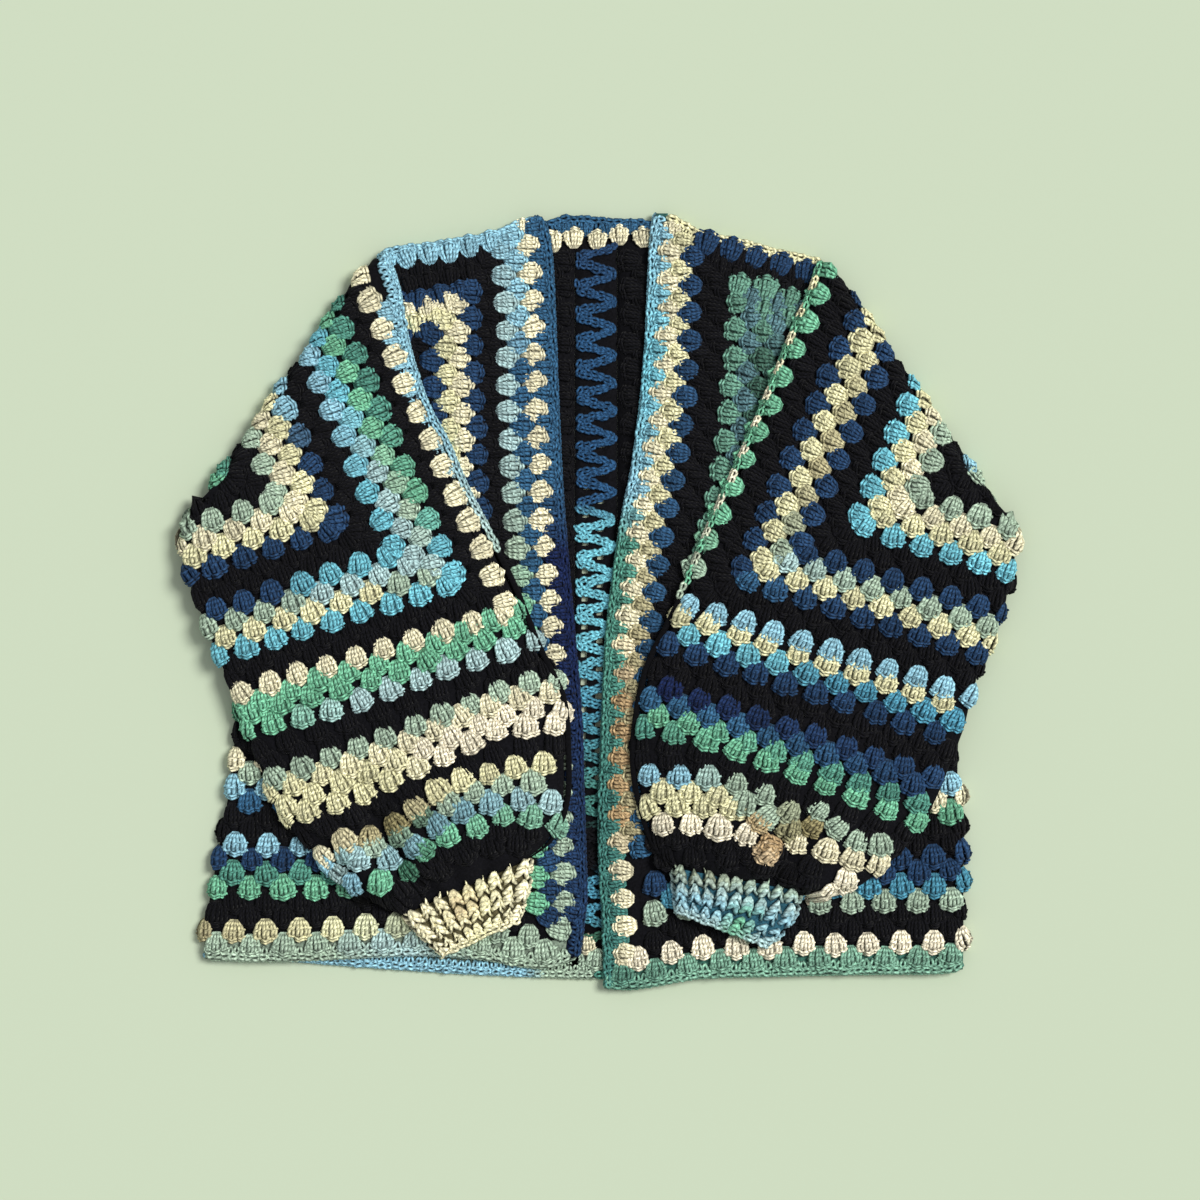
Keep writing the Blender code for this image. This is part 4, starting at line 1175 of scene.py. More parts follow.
LEFT_COLUMNS = (
    Column(17, None, "cream 330 cream 420 sage", None, 3.6),
    Column(27.4, None, "light_blue 70 light_blue 100 mid_blue 300 mid_blue 500 navy", None, 4.9),
    Column(36.3, 267.5, "light_blue 40 frost 150 frost 230 sage 290 green", "light_blue"),
    Column(45.1, 256, "black", "black"),
    Column(54, 244.6, "black", "black"),
    Column(62.2, 230, "navy", "navy", -5.5),
    Column(71.8, 221.6, "cream", "cream", -4.6),
    Column(82, 209.8, "yellow_cream", "yellow_cream", -4.4),
    Column(91.5, 200.1, "navy", "navy", -4.4),
    Column(101, 193.5, "black", "black", -4.4),
    Column(110.5, 184, "black", "black", -4.4),
)
RIGHT_COLUMNS = (
    Column(15.5, None, "cream 300 cream 350 tan 440 tan 470 cream", None, 1.5),
    Column(23.6, 277, "yellow_cream 170 yellow_cream 300 khaki", "yellow_cream", 4.7),
    Column(31.6, 268, "navy 500 mid_blue", "navy", 6.7, 2.8),
    Column(39.8, 259.6, "black", "black", 6.7, 2.8),
    Column(48.6, 251.2, "black", "black", 6.7),
    Column(57.6, 242.8, "black", "black", 6.7),
    Column(66.8, 235, "dull_green", "dull_green", 6.7, -6.5),
    Column(77, 224.6, "grey_teal", "grey_teal", 7.4, -7),
    # Lower down these columns lie beside the right sleeve, and their darkest green is painted
    # shadow of the sleeve on a dark green yarn.
    Column(87.4, 214, "dull_green 40 shade_green", "dull_green", 8, -7.4),
    Column(97, 204, "grey_teal 40 shade_green", "grey_teal", 8, -8),
    Column(106, 194, "black", "black", 8, -8),
)
COLUMN_STARTS = {"left": 286.0, "right": 280.0}
COLUMN_PITCH = {"left": 20.2, "right": 20.8}
CORNER_ROWS = {"left": ((-0.98, -0.19), 16.0, 0.92), "right": ((0.96, -0.27), 19.4, 1.0)}
CORNER_COUNT = 9
HEM_ROW_DYES = {
    "left": (
        "khaki 90 yellow_cream 200 sage", "black", "black", "green", "teal_green",
        "navy", "light_blue", "black", "black", "mid_blue", "light_blue", "sage", "cream",
        "black", "black",
    ),
    "right": (
        "pale_cream", "black", "black", "sage", "teal_blue", "navy", "navy", "black", "black",
        "green", "cream", "light_blue", "black", "black",
    ),
}
HEM_ROW_FIRST = 22.0
HEM_ROW_STEP = 10.6
HEM_PITCH = 24.4
HEM_START = 6.0
RIGHT_COLUMNS_LOW = -186.0
RIGHT_ROWS_FULL = 6
HIDDEN_DEPTH = 0.009
CUFF_RINGS = {
    "left": metres(
        (-145.4, -232, -52.2, -190.6, 0), (-137.3, -241.6, -52.9, -205.4, 0),
        (-127.7, -252, -55.9, -220.2, 0), (-118, -260.9, -59.6, -233.5, 0),
    ),
    "right": metres(
        (146.9, -214.2, 54.4, -197.2, 0), (145.4, -226.1, 54.4, -208.3, 0),
        (138.8, -240.1, 55.1, -218.7, 0), (124, -254.2, 55.9, -227.6, 0),
    ),
}


def depth_inside(shape, x, y):
    """How deep a flat place lies inside a closed line, or 0 outside it."""
    start, end = shape, np.roll(shape, -1, axis=0)
    crossing = (start[:, 1] > y) != (end[:, 1] > y)
    rise = np.where(crossing, end[:, 1] - start[:, 1], 1)
    cut = start[:, 0] + (y - start[:, 1]) / rise * (end[:, 0] - start[:, 0])
    if (crossing & (cut > x)).sum() % 2 == 0:
        return 0.0
    way, to_place = end - start, (x, y) - start
    share = np.clip((to_place * way).sum(1) / np.maximum((way * way).sum(1), 1e-12), 0, 1)
    return np.linalg.norm(to_place - way * share[:, None], axis=1).min()


def in_view(side, stitches):
    """The stitches that the sleeve and its cuff don't hide."""
    rings = np.concatenate([side.rings, CUFF_RINGS[side.name][1:]])
    shape = np.concatenate([rings[:, 0:2], rings[::-1, 2:4]])
    return [s for s in stitches if depth_inside(shape, s.x, s.y) < HIDDEN_DEPTH]


def opening_x(side, y):
    """Where the free edge of the front is at a height."""
    line = smooth_line(side.opening)
    return np.interp(y, line[:, 1], line[:, 0])


def by_opening(side, offset, y, dye, size=1.0):
    """A cluster beside the opening, growing towards it; offset and y in millimetres."""
    y *= MM
    lean = (opening_x(side, y + 0.01) - opening_x(side, y - 0.01)) / 0.02
    heading = math.atan2(side.out * lean, -side.out)
    return Stitch(opening_x(side, y) + side.out * offset * MM, y, heading, dye, size)


def column_stitches(side, columns):
    """Clusters beside the opening and along the shoulder."""
    stitches = []
    row_way, row_pitch, row_size = CORNER_ROWS[side.name]
    pitch = COLUMN_PITCH[side.name]
    for number, column in enumerate(columns):
        if column.corner_y is None:
            y = top = COLUMN_STARTS[side.name] - (pitch / 2 if number % 2 else 0)
        else:
            y, top = column.corner_y - CORNER_HALF, column.corner_y
        y -= column.slide
        bottom = side.front_hem[-1, 1] / MM + HEM_ROW_FIRST + number * HEM_ROW_STEP - 4
        if side is RIGHT and number:
            bottom = max(bottom, RIGHT_COLUMNS_LOW)
        while y > bottom:
            stitches.append(by_opening(side, column.offset, y, dye_at(column.dyes, top - y)))
            y -= pitch
        if column.row_dyes is None:
            continue
        corner = np.array([opening_x(side, top * MM) / MM + side.out * column.offset, top])
        for step in range(CORNER_COUNT):
            distance = CORNER_HALF + step * row_pitch + column.row_slide
            stitches.append(Stitch(
                *((corner + np.array(row_way) * distance) * MM), angle(across(row_way, (0, 1))),
                dye_at(column.row_dyes, distance), row_size))
    return stitches


def hem_row(side, height, shift, dyes, stop_offset, size=1.0):
    """Clusters along the hem at a height above its edge, growing down."""
    line = smooth_line(side.front_hem) / MM + (0, height)
    before = line[0] - line[1]
    line = np.concatenate([[line[0] + before / np.linalg.norm(before) * 12], line])
    marks = distances(line)
    stitches = []
    for distance in np.arange(HEM_START + shift, marks[-1] - stop_offset, HEM_PITCH):
        place = at(line, marks, distance)
        heading = angle(across(at(line, marks, distance + 5) - place, (0, -1)))
        stitches.append(Stitch(*(place * MM), heading, dye_at(dyes, distance), size))
    return stitches


for side, columns in ((LEFT, LEFT_COLUMNS), (RIGHT, RIGHT_COLUMNS)):
    dice = random.Random(f"{side.name} front")
    stitches = column_stitches(side, columns)
    for number, dyes in enumerate(HEM_ROW_DYES[side.name]):
        full = side is RIGHT and 0 < number < RIGHT_ROWS_FULL
        stitches += hem_row(side, HEM_ROW_FIRST + number * HEM_ROW_STEP,
                            HEM_PITCH / 2 * (number % 2), dyes,
                            27 if full else 20 + number * HEM_ROW_STEP)
    cloth = fronts[side.name]
    stitches = in_view(side, cloth.covered(stitches))
    form = lay_all(dealt(cloth, stitches, dice), dice)
    add_piece(f"{side.name}_front_clusters", form)
    print(len(stitches), "clusters on the", side.name, "front")

# %% [markdown]
# ## Edgings
#
# The edges are finished with one row of clusters in the edging's own colour, which reach in
# between the cream ones, and with firm short stitches. From above, a short stitch is a small V,
# and the very edge is a chain of plump loops that lie along it like a braid. Another chain hangs
# on the side of the edge, so that it looks right from the table's height too. Below them lies a
# narrow ground strip.

# %% Short stitches
LOOP_PITCH = 5.6
SHORT_PITCH = 5.2
CHAIN_START = 3.5
CHAIN_STOP = 2.5
CHAIN_SINK = 0.0016


def loop(sides):
    """A chain loop, lying along the edge."""
    return gathered(
        strand([(-3.9, -0.6, 0.3), (-1.4, 1.4, 1.6), (1.5, 1.8, 2.0), (3.7, 0.4, 0.8)], 3, 1.3,
               sides),
        strand([(-3.9, -0.6, 0.3), (-1.2, -1.6, 1.4), (1.5, -1.7, 1.8), (3.7, 0.2, 0.8)], 3, 1.3,
               sides))


LOOP, SIDE_LOOP = loop(6), loop(4)
SHORT = gathered(*(strand(stops, 2, 1.2) for stops in (
    [(-0.3, -3.2, 0.5), (-1.6, -0.8, 1.8), (-2.0, 2.2, 1.3)],
    [(0.3, -3.2, 0.5), (1.6, -0.8, 1.8), (2.0, 2.2, 1.3)],
    [(-2.6, 1.2, 1.2), (0.1, 2.7, 2.2), (2.6, 1.4, 1.3)])))


def along_line(line, pitch, dye, toward, start=0.0, stop=None, size=1.0):
    """Stitches at even steps along a line in millimetres, growing toward one side of it."""
    marks = distances(line)
    stitches = []
    distance = start
    while distance < (marks[-1] if stop is None else stop):
        way = at(line, marks, distance + 3) - at(line, marks, distance - 3)
        colour = dye(distance) if callable(dye) else dye
        stitches.append(Stitch(*(at(line, marks, distance) * MM), angle(across(way, toward)),
                               colour, size))
        distance += pitch * size
    return stitches


def side_chain(line, height, dye, toward, dice, size):
    """Loops that hang on the side of an edge, facing outward, short of its ends."""
    stitches = along_line(line, LOOP_PITCH, dye, toward, CHAIN_START,
                          distances(line)[-1] - CHAIN_STOP, size)
    x, y, z = (SIDE_LOOP.points * MM).T[..., None]
    scale = np.array([s.size * (1 + dice.gauss(0, 0.03)) for s in stitches])[:, None, None]
    outward = np.array([(math.cos(s.way), math.sin(s.way), 0) for s in stitches])[:, None]
    up = np.array((0.0, 0.0, 1.0))
    origin = np.array([(s.x, s.y, height) for s in stitches])[:, None] - outward * CHAIN_SINK
    points = origin + scale * (x * np.cross(up, outward) + y * up + z * outward)
    points[..., 2] = np.maximum(points[..., 2], LOWEST)
    return copied(SIDE_LOOP, stitches, points)


def flat_cloth(height):
    """A level cloth under the whole garment."""
    flat = np.stack(np.meshgrid((-0.32, 0.32), (-0.30, 0.30)), -1)
    return LaidCloth(flat, at_height(flat, height))


def add_strip(name, free, joined_edge, low, high, node, dye):
    """The ground of a narrow edging: a rounded strip between two lines, darkened as painted shade.
    """
    way = joined_edge - free
    way /= np.linalg.norm(way, axis=1)[:, None]
    top = high - SINK
    rows = np.stack([at_height(edge + way * shift, height) for edge, shift, height in (
        (free, 0.0012, low), (joined_edge, 0.0, low), (joined_edge, 0.0, top - 0.0006),
        (joined_edge, -0.0007, top), (free, 0.0018, top), (free, 0.0009, top - 0.0007),
        (free, 0.0006, (low + top) / 2), (free, 0.0008, low + 0.0006),
    )], axis=1)
    caps = np.array([(0, 1, 2, 7), (2, 3, 6, 7), (3, 4, 5, 6)])
    faces = np.concatenate([tube_faces(len(rows), 8), caps[:, ::-1], caps + (len(rows) - 1) * 8])
    # The dye at 0.6 is painted shade in the gaps between the edging's stitches.
    return add_cloth(name, rows.reshape(-1, 3), faces, DYES[dye] * 0.6, node)


# %% [markdown]
# The bands beside the opening come first: a strip of ground, clusters that reach in between the
# cream ones, two rows of loops on top and one on the free edge.

# %% Front bands
BAND_DYES = {
    "left": "navy 230 dark_navy 300 dark_navy 360 mid_blue",
    "right": "deep_teal 150 deep_teal 260 teal_green 330 teal_green 370 light_blue "
             "460 turquoise 560 light_blue",
}
BAND_CLUSTER_OFFSET = 10.5
BAND_TRIM = 3.5
LOW_CHAIN = 0.0022
HIGH_CHAIN = FRONT_LOW + 0.0018

for side in (LEFT, RIGHT):
    dice = random.Random(f"{side.name} band")
    opening = smooth_line(side.opening)
    add_strip(f"{side.name}_band_ground", opening, opening + (side.out * FRONT_BAND_WIDTH, 0),
              FRONT_LOW, BODY_TOP, f"{side.name}_front_band",
              "dark_navy" if side is LEFT else "deep_teal")
    band_dye = functools.partial(dye_at, BAND_DYES[side.name])
    line, outward = opening / MM, (-side.out, 0)
    pitch, low = COLUMN_PITCH[side.name], line[0, 1]
    reach = [by_opening(side, BAND_CLUSTER_OFFSET, y, band_dye(y - low), 0.92)
             for y in np.arange(COLUMN_STARTS[side.name] - pitch / 2, low + 24, -pitch)]
    stop = distances(line)[-1] - BAND_TRIM
    cloth = fronts[side.name]
    laid = lay_all(dealt(cloth, reach, dice) + [
        (cloth, LOOP, along_line(line + (side.out * 2.4, 0), LOOP_PITCH, band_dye, outward,
                                 BAND_TRIM, stop)),
        (cloth, SHORT, along_line(line + (side.out * 5.8, 0), SHORT_PITCH, band_dye, outward,
                                  BAND_TRIM + 2.0, stop)),
    ], dice)
    chain = side_chain(line, HIGH_CHAIN, band_dye, outward, dice, 0.9)
    add_piece(f"{side.name}_band_stitches", gathered(laid, chain))

# %% [markdown]
# The hems are worked the same way, and run round the side. Below the left front the hem of the back
# shows, in light blue.

# %% Hems
HEM_DYES = {
    "left": "sage 90 sage 150 frost 200 sage",
    "right": "sea_green 200 sea_green 250 dull_green 290 teal_green",
}
HEM_STOP = 6.0
BACK_HEM_DYES = {
    "left": "light_blue 235 light_blue 250 sage",
    "right": "teal_green",
}
BACK_HEM_START = 80.0
DOWN = (0, -1)

back_top = flat_cloth(WALL - SINK)
for side in (LEFT, RIGHT):
    dice = random.Random(f"{side.name} hem")
    cloth = fronts[side.name]
    hem_dye = functools.partial(dye_at, HEM_DYES[side.name])
    line = smooth_line(side.front_hem) / MM
    reach = hem_row(side, HEM_ROW_FIRST - HEM_ROW_STEP, HEM_PITCH / 2, HEM_DYES[side.name], 9,
                    0.95)
    stop = distances(line)[-1] - (HEM_STOP if side is LEFT else 0)
    shorts = along_line(line + (0, 7.2), SHORT_PITCH, hem_dye, DOWN, stop=stop)
    loops = along_line(line + (0, 2.6), LOOP_PITCH, hem_dye, DOWN, 1.5, stop)
    laid = lay_all(dealt(cloth, in_view(side, reach), dice) + [
        (cloth, SHORT, in_view(side, shorts)), (cloth, LOOP, in_view(side, loops))], dice)
    chain = side_chain(line, HIGH_CHAIN, hem_dye, DOWN, dice, 0.9)

    back_line = smooth_line(side.back_hem) / MM
    back_dye = functools.partial(dye_at, BACK_HEM_DYES[side.name])
    back_rows = [(back_top, LOOP, along_line(back_line + (0, 2.4), LOOP_PITCH, back_dye, DOWN,
                                             size=0.95))]
    if side is LEFT:
        back_rows.append((back_top, SHORT, along_line(
            back_line + (0, 6.8), SHORT_PITCH, back_dye, DOWN, BACK_HEM_START, size=0.9)))
    back_laid = lay_all(back_rows, dice)
    back_chain = side_chain(back_line, LOW_CHAIN, back_dye, DOWN, dice, 0.85)
    add_piece(f"{side.name}_hem_stitches", gathered(laid, chain, back_laid, back_chain))

# %% [markdown]
# ## Seams
#
# The shoulders and the tops of the sleeves are crocheted together, which leaves a raised cord of
# loops. On the left it is light blue and widens at the top, and its clusters reach in between the
# cream ones. On the right it is a pale cream, and the green of the last round reaches over it.

# %% Seams
SEAM_DYES = {
    "left": "light_blue 130 light_blue 200 frost 260 sage",
    "right": "yellow_cream 150 pale_cream 270 sage",
}
SEAM_STOPS = {"left": 235.0, "right": 265.0}
FIRST_GAP = 13.8
GAP_HALF = 5.5
CORD_SINK = {"left": 0.0, "right": 0.0017}
SHOULDER_TOPS = {"left": (-58.1, 277.5), "right": (53.0, 274.0)}
WIDE_PARTS = ((4.6, 100.0), (8.4, 48.0))
FAN_LINE = (
    (-158.7, 212.0), (-154.3, 191.3), (-148.4, 172.1), (-139.5, 152.1), (-129.1, 133.6),
    (-118.8, 114.3), (-109.0, 95.8), (-98.8, 77.0),
)
SLEEVE_TOP = SLEEVE_LOW + 2 * FOLD_RADIUS
UP = (0, 1)


def seam_dye(side, distance):
    """The seam's colour along it; on the right the last round's green reaches over it."""
    from_gap = (distance - FIRST_GAP + PITCH / 2) % PITCH - PITCH / 2
    if side is RIGHT and abs(from_gap) > GAP_HALF:
        return DYES["green"]
    return dye_at(SEAM_DYES[side.name], distance)


def seam_fans():
    """Clusters of the seam's yarn between the last cream ones of the left sleeve."""
    return [
        Stitch(x * MM, y * MM, math.atan2(along_x, -along_y),
               dye_at(SEAM_DYES["left"], 60 + 20 * number), 0.8 - 0.02 * number)
        for number, ((x, y), (along_x, along_y)) in enumerate(
            zip(FAN_LINE, np.gradient(FAN_LINE, axis=0)))]


for side in (LEFT, RIGHT):
    dice = random.Random(f"{side.name} seams")
    upper = even(smooth_line(side.shoulder), SHOULDER_COLUMNS)
    add_strip(f"{side.name}_shoulder_ground", upper, shoulder_edge(side) + (0, SEAM_GAP), 0.0,
              BODY_TOP, f"{side.name}_shoulder_seam", "dark_green")
    colour = dye_at(SEAM_DYES[side.name], 0)
    top = flat_cloth(BODY_TOP - SINK)
    x, y = SHOULDER_TOPS[side.name]
    line = upper / MM
    rows = [
        (top, full_clusters[0], [Stitch(x * MM, y * MM, math.pi / 2, DYES["cream"], 0.78)]),
        (top, LOOP, along_line(line - (0, 1.4), LOOP_PITCH, colour, UP)),
        (top, SHORT, along_line(line - (0, 5.0), SHORT_PITCH, colour, UP, size=0.9)),
    ]
    chains = [side_chain(line, height, colour, UP, dice, 0.85)
              for height in (LOW_CHAIN, HIGH_CHAIN)]
    add_piece(f"{side.name}_shoulder_stitches", gathered(lay_all(rows, dice), *chains))

    rings = spline(side.rings, np.linspace(0, 1, SLEEVE_RINGS + 1))
    edge = rings[:, 2:4]
    span = edge - rings[:, 0:2]
    span /= np.linalg.norm(span, axis=1)[:, None]
    add_strip(f"{side.name}_seam_ground", edge, edge - span * SEAM_WIDTH, SLEEVE_LOW, SLEEVE_TOP,
              f"{side.name}_sleeve_seam", "black")
    dye = functools.partial(seam_dye, side)
    inward = (-side.out, 0)
    top = flat_cloth(SLEEVE_TOP - SINK - CORD_SINK[side.name])
    stop = SEAM_STOPS[side.name]
    rows = [(top, LOOP, along_line((edge - span * SEAM_WIDTH * 0.4) / MM, LOOP_PITCH, dye, inward,
                                   stop=stop, size=0.9))]
    if side is LEFT:
        rows += [(top, SHORT, along_line(edge / MM - span * offset, SHORT_PITCH, dye, inward,
                                         stop=wide_stop)) for offset, wide_stop in WIDE_PARTS]
        rows += dealt(sleeves[side.name], seam_fans(), dice)
    shown = edge[:np.searchsorted(distances(edge)[1:], stop * MM)] / MM
    chains = [side_chain(shown, height, dye, inward, dice, 0.85)
              for height in (SLEEVE_LOW + 0.002, SLEEVE_LOW + 0.0062)]
    add_piece(f"{side.name}_seam_stitches", gathered(lay_all(rows, dice), *chains))

# %% [markdown]
# ## Cuffs
#
# The cuff is worked sideways in short stitches through the back loops only, so it stands in ribs,
# and each rib is a column of slanting strands. Along its top edge a few ends of the pale yarn
# poke into the dark sleeve, and along its bottom edge runs a smooth chain.

# %% Cuffs
CUFF_RIBS = 9
RIB_HEIGHT = 0.0016
RIB_COLUMNS = 6
RIB_PATTERN_WIDTH = 0.0098
CUFF_STEPS = 10
CUFF_STITCHES = 7
CUFF_LIGHT = 1.18

RIB = gathered(*(strand([(side * 4.0, 3.4, -0.4), (side * 2.6, 1.2, 2.2), (side * 0.9, -2.0, 3.2),
                         (side * 0.2, -4.6, 1.8)], 3, [1.3, 1.7, 1.7, 1.2]) for side in (-1, 1)))
SPIKE = strand([(0, -2.5, 1.5), (0.3, 1.0, 2.4), (0.8, 4.6, 2.2)], 4, [1.2, 1.2, 1.0, 0.7, 0.3],
               4)


def patch(colour, name, strength, across_at, along_at):
    """A colour with a soft patch of another; each place is a distance from it and a spread."""
    share = strength * math.exp(-(across_at[0] / across_at[1]) ** 2
                                - (along_at[0] / along_at[1]) ** 2)
    return colour * (1 - share) + DYES[name] * share


def left_cuff_dye(rib, row):
    pale = dye_at("cream 0.55 yellow_cream 1 cream", rib)
    return patch(pale, "tan", 0.6, (rib - 0.42, 0.13), (row - 0.3, 0.35)) * CUFF_LIGHT


def right_cuff_dye(rib, row):
    blue = dye_at("sage 0.35 frost 0.7 light_blue 1 frost", row)
    shade = patch(blue, "green", 1.0, (rib - 0.38, 0.14), (row - 0.85, 0.35))
    return patch(shade, "olive", 0.5, (rib - 0.75, 0.25), (row - 0.1, 0.2))


for side, dye_of in ((LEFT, left_cuff_dye), (RIGHT, right_cuff_dye)):
    dice = random.Random(f"{side.name} cuff")
    columns = CUFF_RIBS * RIB_COLUMNS
    rise = RIB_HEIGHT * np.abs(np.sin(math.pi * CUFF_RIBS * np.linspace(0, 1, columns + 1)))
    upper = range(-(TURN_STEPS - 1), columns + TURN_STEPS)
    grids, lines = [], []
    for ring in spline(CUFF_RINGS[side.name], np.linspace(0, 1, CUFF_STEPS + 1)):
        start = ring[0:2] - (0, SEAM_GAP * 1.2)
        width = np.linalg.norm(ring[2:4] - ring[0:2])
        way = (ring[2:4] - ring[0:2]) / width
        lines.append((start, way, width))
        outer, inner = (np.concatenate([start + way * cut[:, 0:1], cut[:, 1:2] + SLEEVE_LOW,
                                        cut[:, 2:3]], -1)
                        for cut in (tube_cut(width, rise)[0], tube_cut(width, 0 * rise)[1]))
        grids.append((outer[:, :3], inner[:, :3], (start + way * outer[:, 3:])[upper],
                      outer[upper, :3]))
    outer, inner, flat, placed = map(np.array, zip(*grids))
    # The cuff ground is the cuff's yarn at 0.4: painted shade between the ribs.
    add_ground(f"{side.name}_cuff_ground", outer, inner, "cuff_rib", f"{side.name}_cuff",
               "olive" if side is LEFT else "teal_blue", closed=True, shade=0.4)
    cloth = LaidCloth(flat, placed)

    def cuff_place(rib, along):
        """A flat place on the cuff: the middle of a rib, at a share of the cuff's length."""
        start, way, width = lines[min(CUFF_STEPS, round(along * CUFF_STEPS))]
        return start + way * width * (rib + 0.5) / CUFF_RIBS

    ribs, ends = [], []
    for rib in range(-1, CUFF_RIBS + 1):
        share = (rib + 0.5) / CUFF_RIBS
        for row in range(CUFF_STITCHES):
            along = (row + 0.5) / CUFF_STITCHES
            heading = angle(cuff_place(rib, min(1.0, along + 0.15))
                            - cuff_place(rib, max(0.0, along - 0.15)))
            width = lines[min(CUFF_STEPS, round(along * CUFF_STEPS))][2]
            ribs.append(Stitch(*cuff_place(rib, along), heading, dye_of(share, along),
                               width / CUFF_RIBS / RIB_PATTERN_WIDTH))
        if 0 <= rib < CUFF_RIBS:
            top_place = cuff_place(rib + dice.uniform(-0.3, 0.3), 0.0)
            heading = angle(top_place - cuff_place(rib, 0.15)) + dice.uniform(-0.4, 0.4)
            ends.append(Stitch(*top_place, heading, dye_of(share, 0.0) * 1.1,
                               dice.uniform(0.7, 1.15)))
    hem_line = np.array([cuff_place(rib, 1.0) for rib in np.arange(-0.5, CUFF_RIBS, 0.5)]) / MM
    edge_dye = dye_of(0.5, 1.0)
    start, _, width = lines[-1]
    chain_row = [
        stitch._replace(dye=dye_of(math.dist((stitch.x, stitch.y), start) / width, 1.0))
        for stitch in along_line(hem_line, LOOP_PITCH, edge_dye, DOWN)]
    laid = lay_all([(cloth, RIB, cloth.covered(ribs)), (cloth, SPIKE, ends),
                    (cloth, LOOP, chain_row)], dice)
    chains = [side_chain(hem_line, height, edge_dye, DOWN, dice, 0.9)
              for height in (SLEEVE_LOW + 0.0018, SLEEVE_LOW + 0.0062)]
    add_piece(f"{side.name}_cuff_stitches", gathered(laid, *chains))

# %% [markdown]
# ## The back, seen through the opening
#
# Between the fronts lies the inside of the back. A lacy zigzag of loops joins its halves, with
# holes that show the table, and beside it stand the black end rows. At the neck, cream clusters
# and a blue edging finish the top. This layer is low, because the fronts lie on part of it.

# %% Join, neck and the inside of the back
HOLE_WIDTH = 0.0045
HOLE_HEIGHT = 0.006
HOLE_PITCH = 0.0207
HOLE_OFFSETS = (0.0073, 0.0185)
FIRST_HOLE_Y = 0.199
HOLE_LEAN = 0.012
JOIN_LOW_Y = -0.2605
HOLE_COUNT = 17
LEFT_HOLES = range(5, 16)
ZIGZAG_PITCH = 20.2
ZIGZAG_TOP = 262.0
ZIGZAG_LOW = -252.5
ZIGZAG_TURNS = (9.6, -16.6)
LACE_PITCH = 5.4
LACE_SIZE = 0.88
JOIN_DYES = (
    "navy 60 deep_blue 190 deep_blue 206 turquoise 290 turquoise 340 teal_blue 400 "
    "deep_teal 420 deep_teal 430 black 460 black 465 teal_blue 495 teal_blue 510 "
    "dark_green"
)


def join_ground():
    """The strip between the half backs, with its holes cut through."""
    rows, holes = [NECK_LOW_Y - SEAM_GAP], []
    for index in range(HOLE_COUNT):
        for offset, column in ((0.0, 3), (HOLE_PITCH / 2, 1)):
            if column == 3 or index in LEFT_HOLES:
                holes.append((len(rows), column))
            centre = FIRST_HOLE_Y - index * HOLE_PITCH - offset
            rows += [centre + HOLE_HEIGHT / 2, centre - HOLE_HEIGHT / 2]
    rows = np.array([*rows, JOIN_LOW_Y])
    left, right = (JOIN_LEFT_X + offset + HOLE_LEAN * (rows - FIRST_HOLE_Y)
                   for offset in HOLE_OFFSETS)
    flat = np.stack([np.stack([np.broadcast_to(x, rows.shape), rows], -1) for x in (
        JOIN_LEFT_X, left, left + HOLE_WIDTH, right, right + HOLE_WIDTH, JOIN_RIGHT_X,
    )], axis=1)
    absent = np.zeros((len(rows) - 1, 5), bool)
    for hole in holes:
        absent[hole] = True
    return add_ground("back_join_ground", at_height(flat, WALL - SINK), at_height(flat, 0.0),
                      "join_lace", "back_join", absent=absent)


def under_fronts(form):
    """Stitches of the back kept below the fronts where those lie over them."""
    points = form.points
    for side in (LEFT, RIGHT):
        covered = (points[:, 0] - opening_x(side, points[:, 1])) * side.out > -0.001
        lowered = np.minimum(points[:, 2], FRONT_LOW - 0.0002)
        points[:, 2] = np.where(covered, lowered, points[:, 2])
    return form


dice = random.Random("back")
join_piece = join_ground()
right_turn, left_turn = ZIGZAG_TURNS
lace_line = smooth_line([
    turn for y in np.arange(ZIGZAG_TOP, ZIGZAG_LOW, -ZIGZAG_PITCH)
    for turn in ((right_turn, y), (left_turn, y - 9.6))])
side_share = (right_turn - lace_line[:, 0]) / (right_turn - left_turn)
gap = np.stack([0 * side_share, 0.8 + 2.3 * side_share**3], -1)
rows = []
for line in (lace_line - gap, lace_line + gap):
    row = along_line(line, LACE_PITCH, DYES["navy"], UP, size=LACE_SIZE)
    rows.append((back_top, LOOP, [
        stitch._replace(dye=dye_at(JOIN_DYES, ZIGZAG_TOP - stitch.y / MM)) for stitch in row]))
lace_piece = add_piece("back_join_stitches", under_fronts(lay_all(rows, dice)))

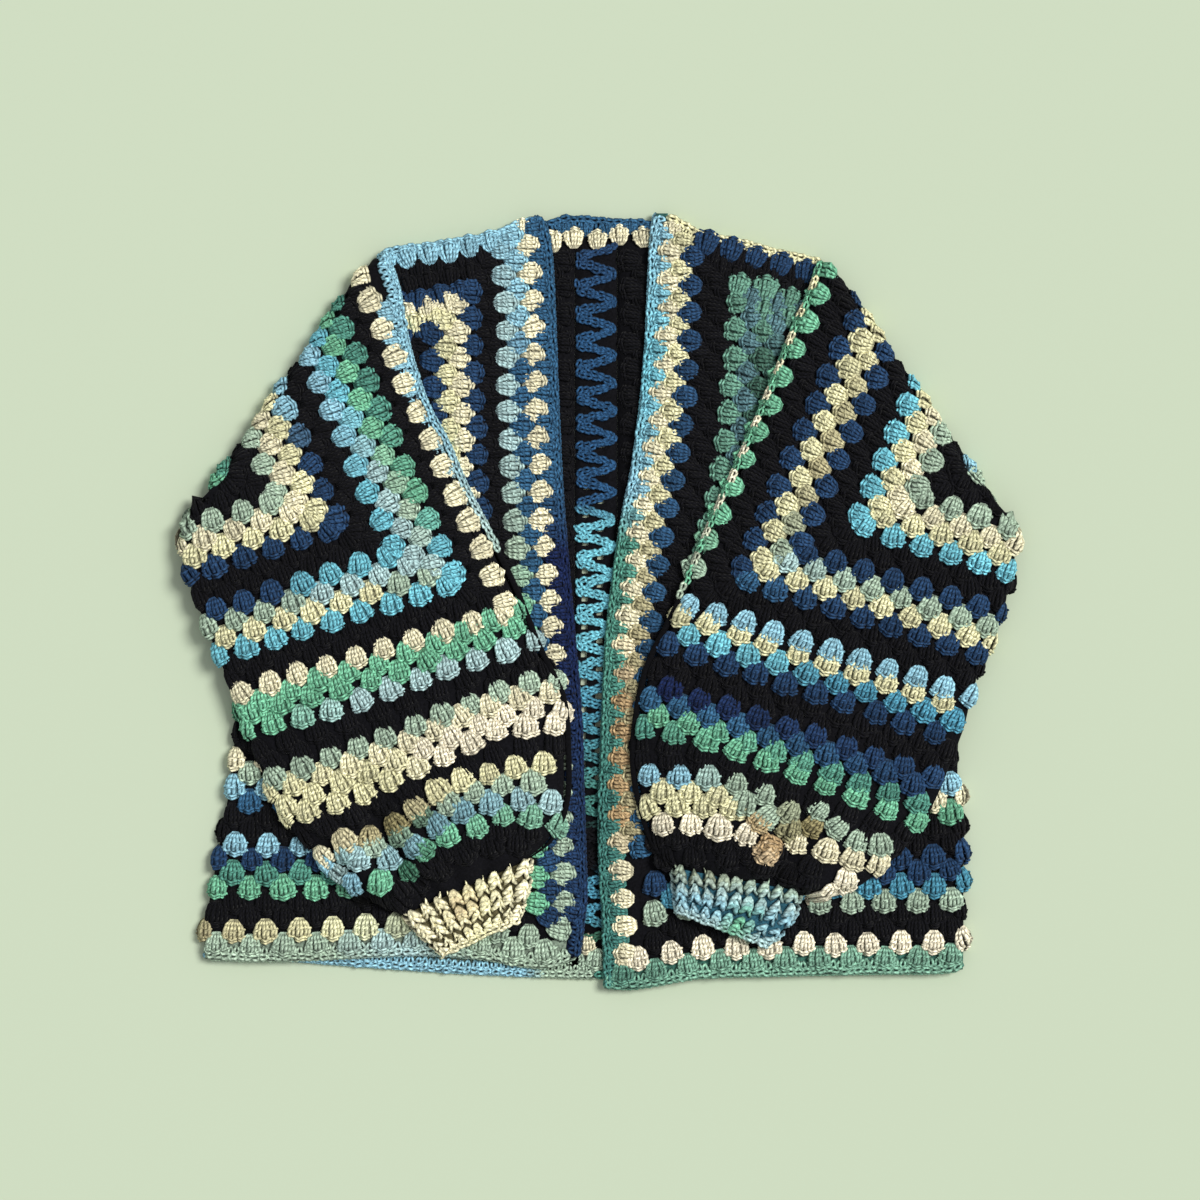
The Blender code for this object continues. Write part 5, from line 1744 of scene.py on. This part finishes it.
BACK_COLUMNS = ((-27.5, 0.0), (22.8, math.pi), (-37.0, 0.0), (32.5, math.pi))
BACK_CREAM = ((-35.9, 266.8), (-19.6, 269.7), (-2.6, 267.5), (13.7, 270.5), (31.4, 269.7))
BACK_LOW = ((-10.5, -255.0, "cream"), (-19.0, -266.5, "sage"), (-2.5, -266.5, "sage"))
BACK_BLUE = ((-27.5, 276.5), (-10.7, 275.6), (5.6, 275.6), (22.6, 276.5))
BACK_FIRST_Y = 253.0
BACK_LAST_Y = -230.0
BACK_PITCH = 20.4

inside = []
for number, (x, heading) in enumerate(BACK_COLUMNS):
    for y in np.arange(BACK_FIRST_Y - BACK_PITCH / 2 * (number > 1), BACK_LAST_Y, -BACK_PITCH):
        if opening_x(LEFT, y * MM) / MM - 4 < x < opening_x(RIGHT, y * MM) / MM + 4:
            inside.append(Stitch(x * MM, y * MM, heading, DYES["black"], 0.95))
inside += [Stitch(x * MM, y * MM, math.pi / 2, DYES["cream"], 0.85) for x, y in BACK_CREAM]
inside += [Stitch(x * MM, y * MM, -math.pi / 2, DYES[name], 0.85) for x, y, name in BACK_LOW]
form = lay_all(dealt(back_top, inside, dice), dice)
inside_piece = add_piece("back_inside_clusters", under_fronts(form))

neck = smooth_line(NECK_EDGE)
neck_low = np.stack([neck[:, 0], np.full(len(neck), NECK_LOW_Y)], -1)
neck_ground = add_strip("neck_ground", neck, neck_low, 0.0, WALL, "neck_band",
                        "dark_navy")
colour = DYES["mid_blue"]
reach = [Stitch(x * MM, y * MM, math.pi / 2, colour, 0.62) for x, y in BACK_BLUE]
form = lay_all(dealt(back_top, reach, dice) + [
    (back_top, LOOP, along_line(neck / MM - (0, 1.6), LOOP_PITCH, colour, UP)),
    (back_top, SHORT, along_line(neck / MM - (0, 5.4), SHORT_PITCH, colour, UP)),
], dice)
chain = side_chain(neck / MM, LOW_CHAIN, colour, UP, dice, 0.85)
neck_piece = add_piece("neck_stitches", gathered(under_fronts(form), chain))

# %% [markdown]
# ## The pieces of cloth
#
# A body piece is half a front and half a back in one, folded at the side. A sleeve is a tube.
# The edgings, seams and clusters go with the cloth that they sit on.

print("the cardigan is laid out")
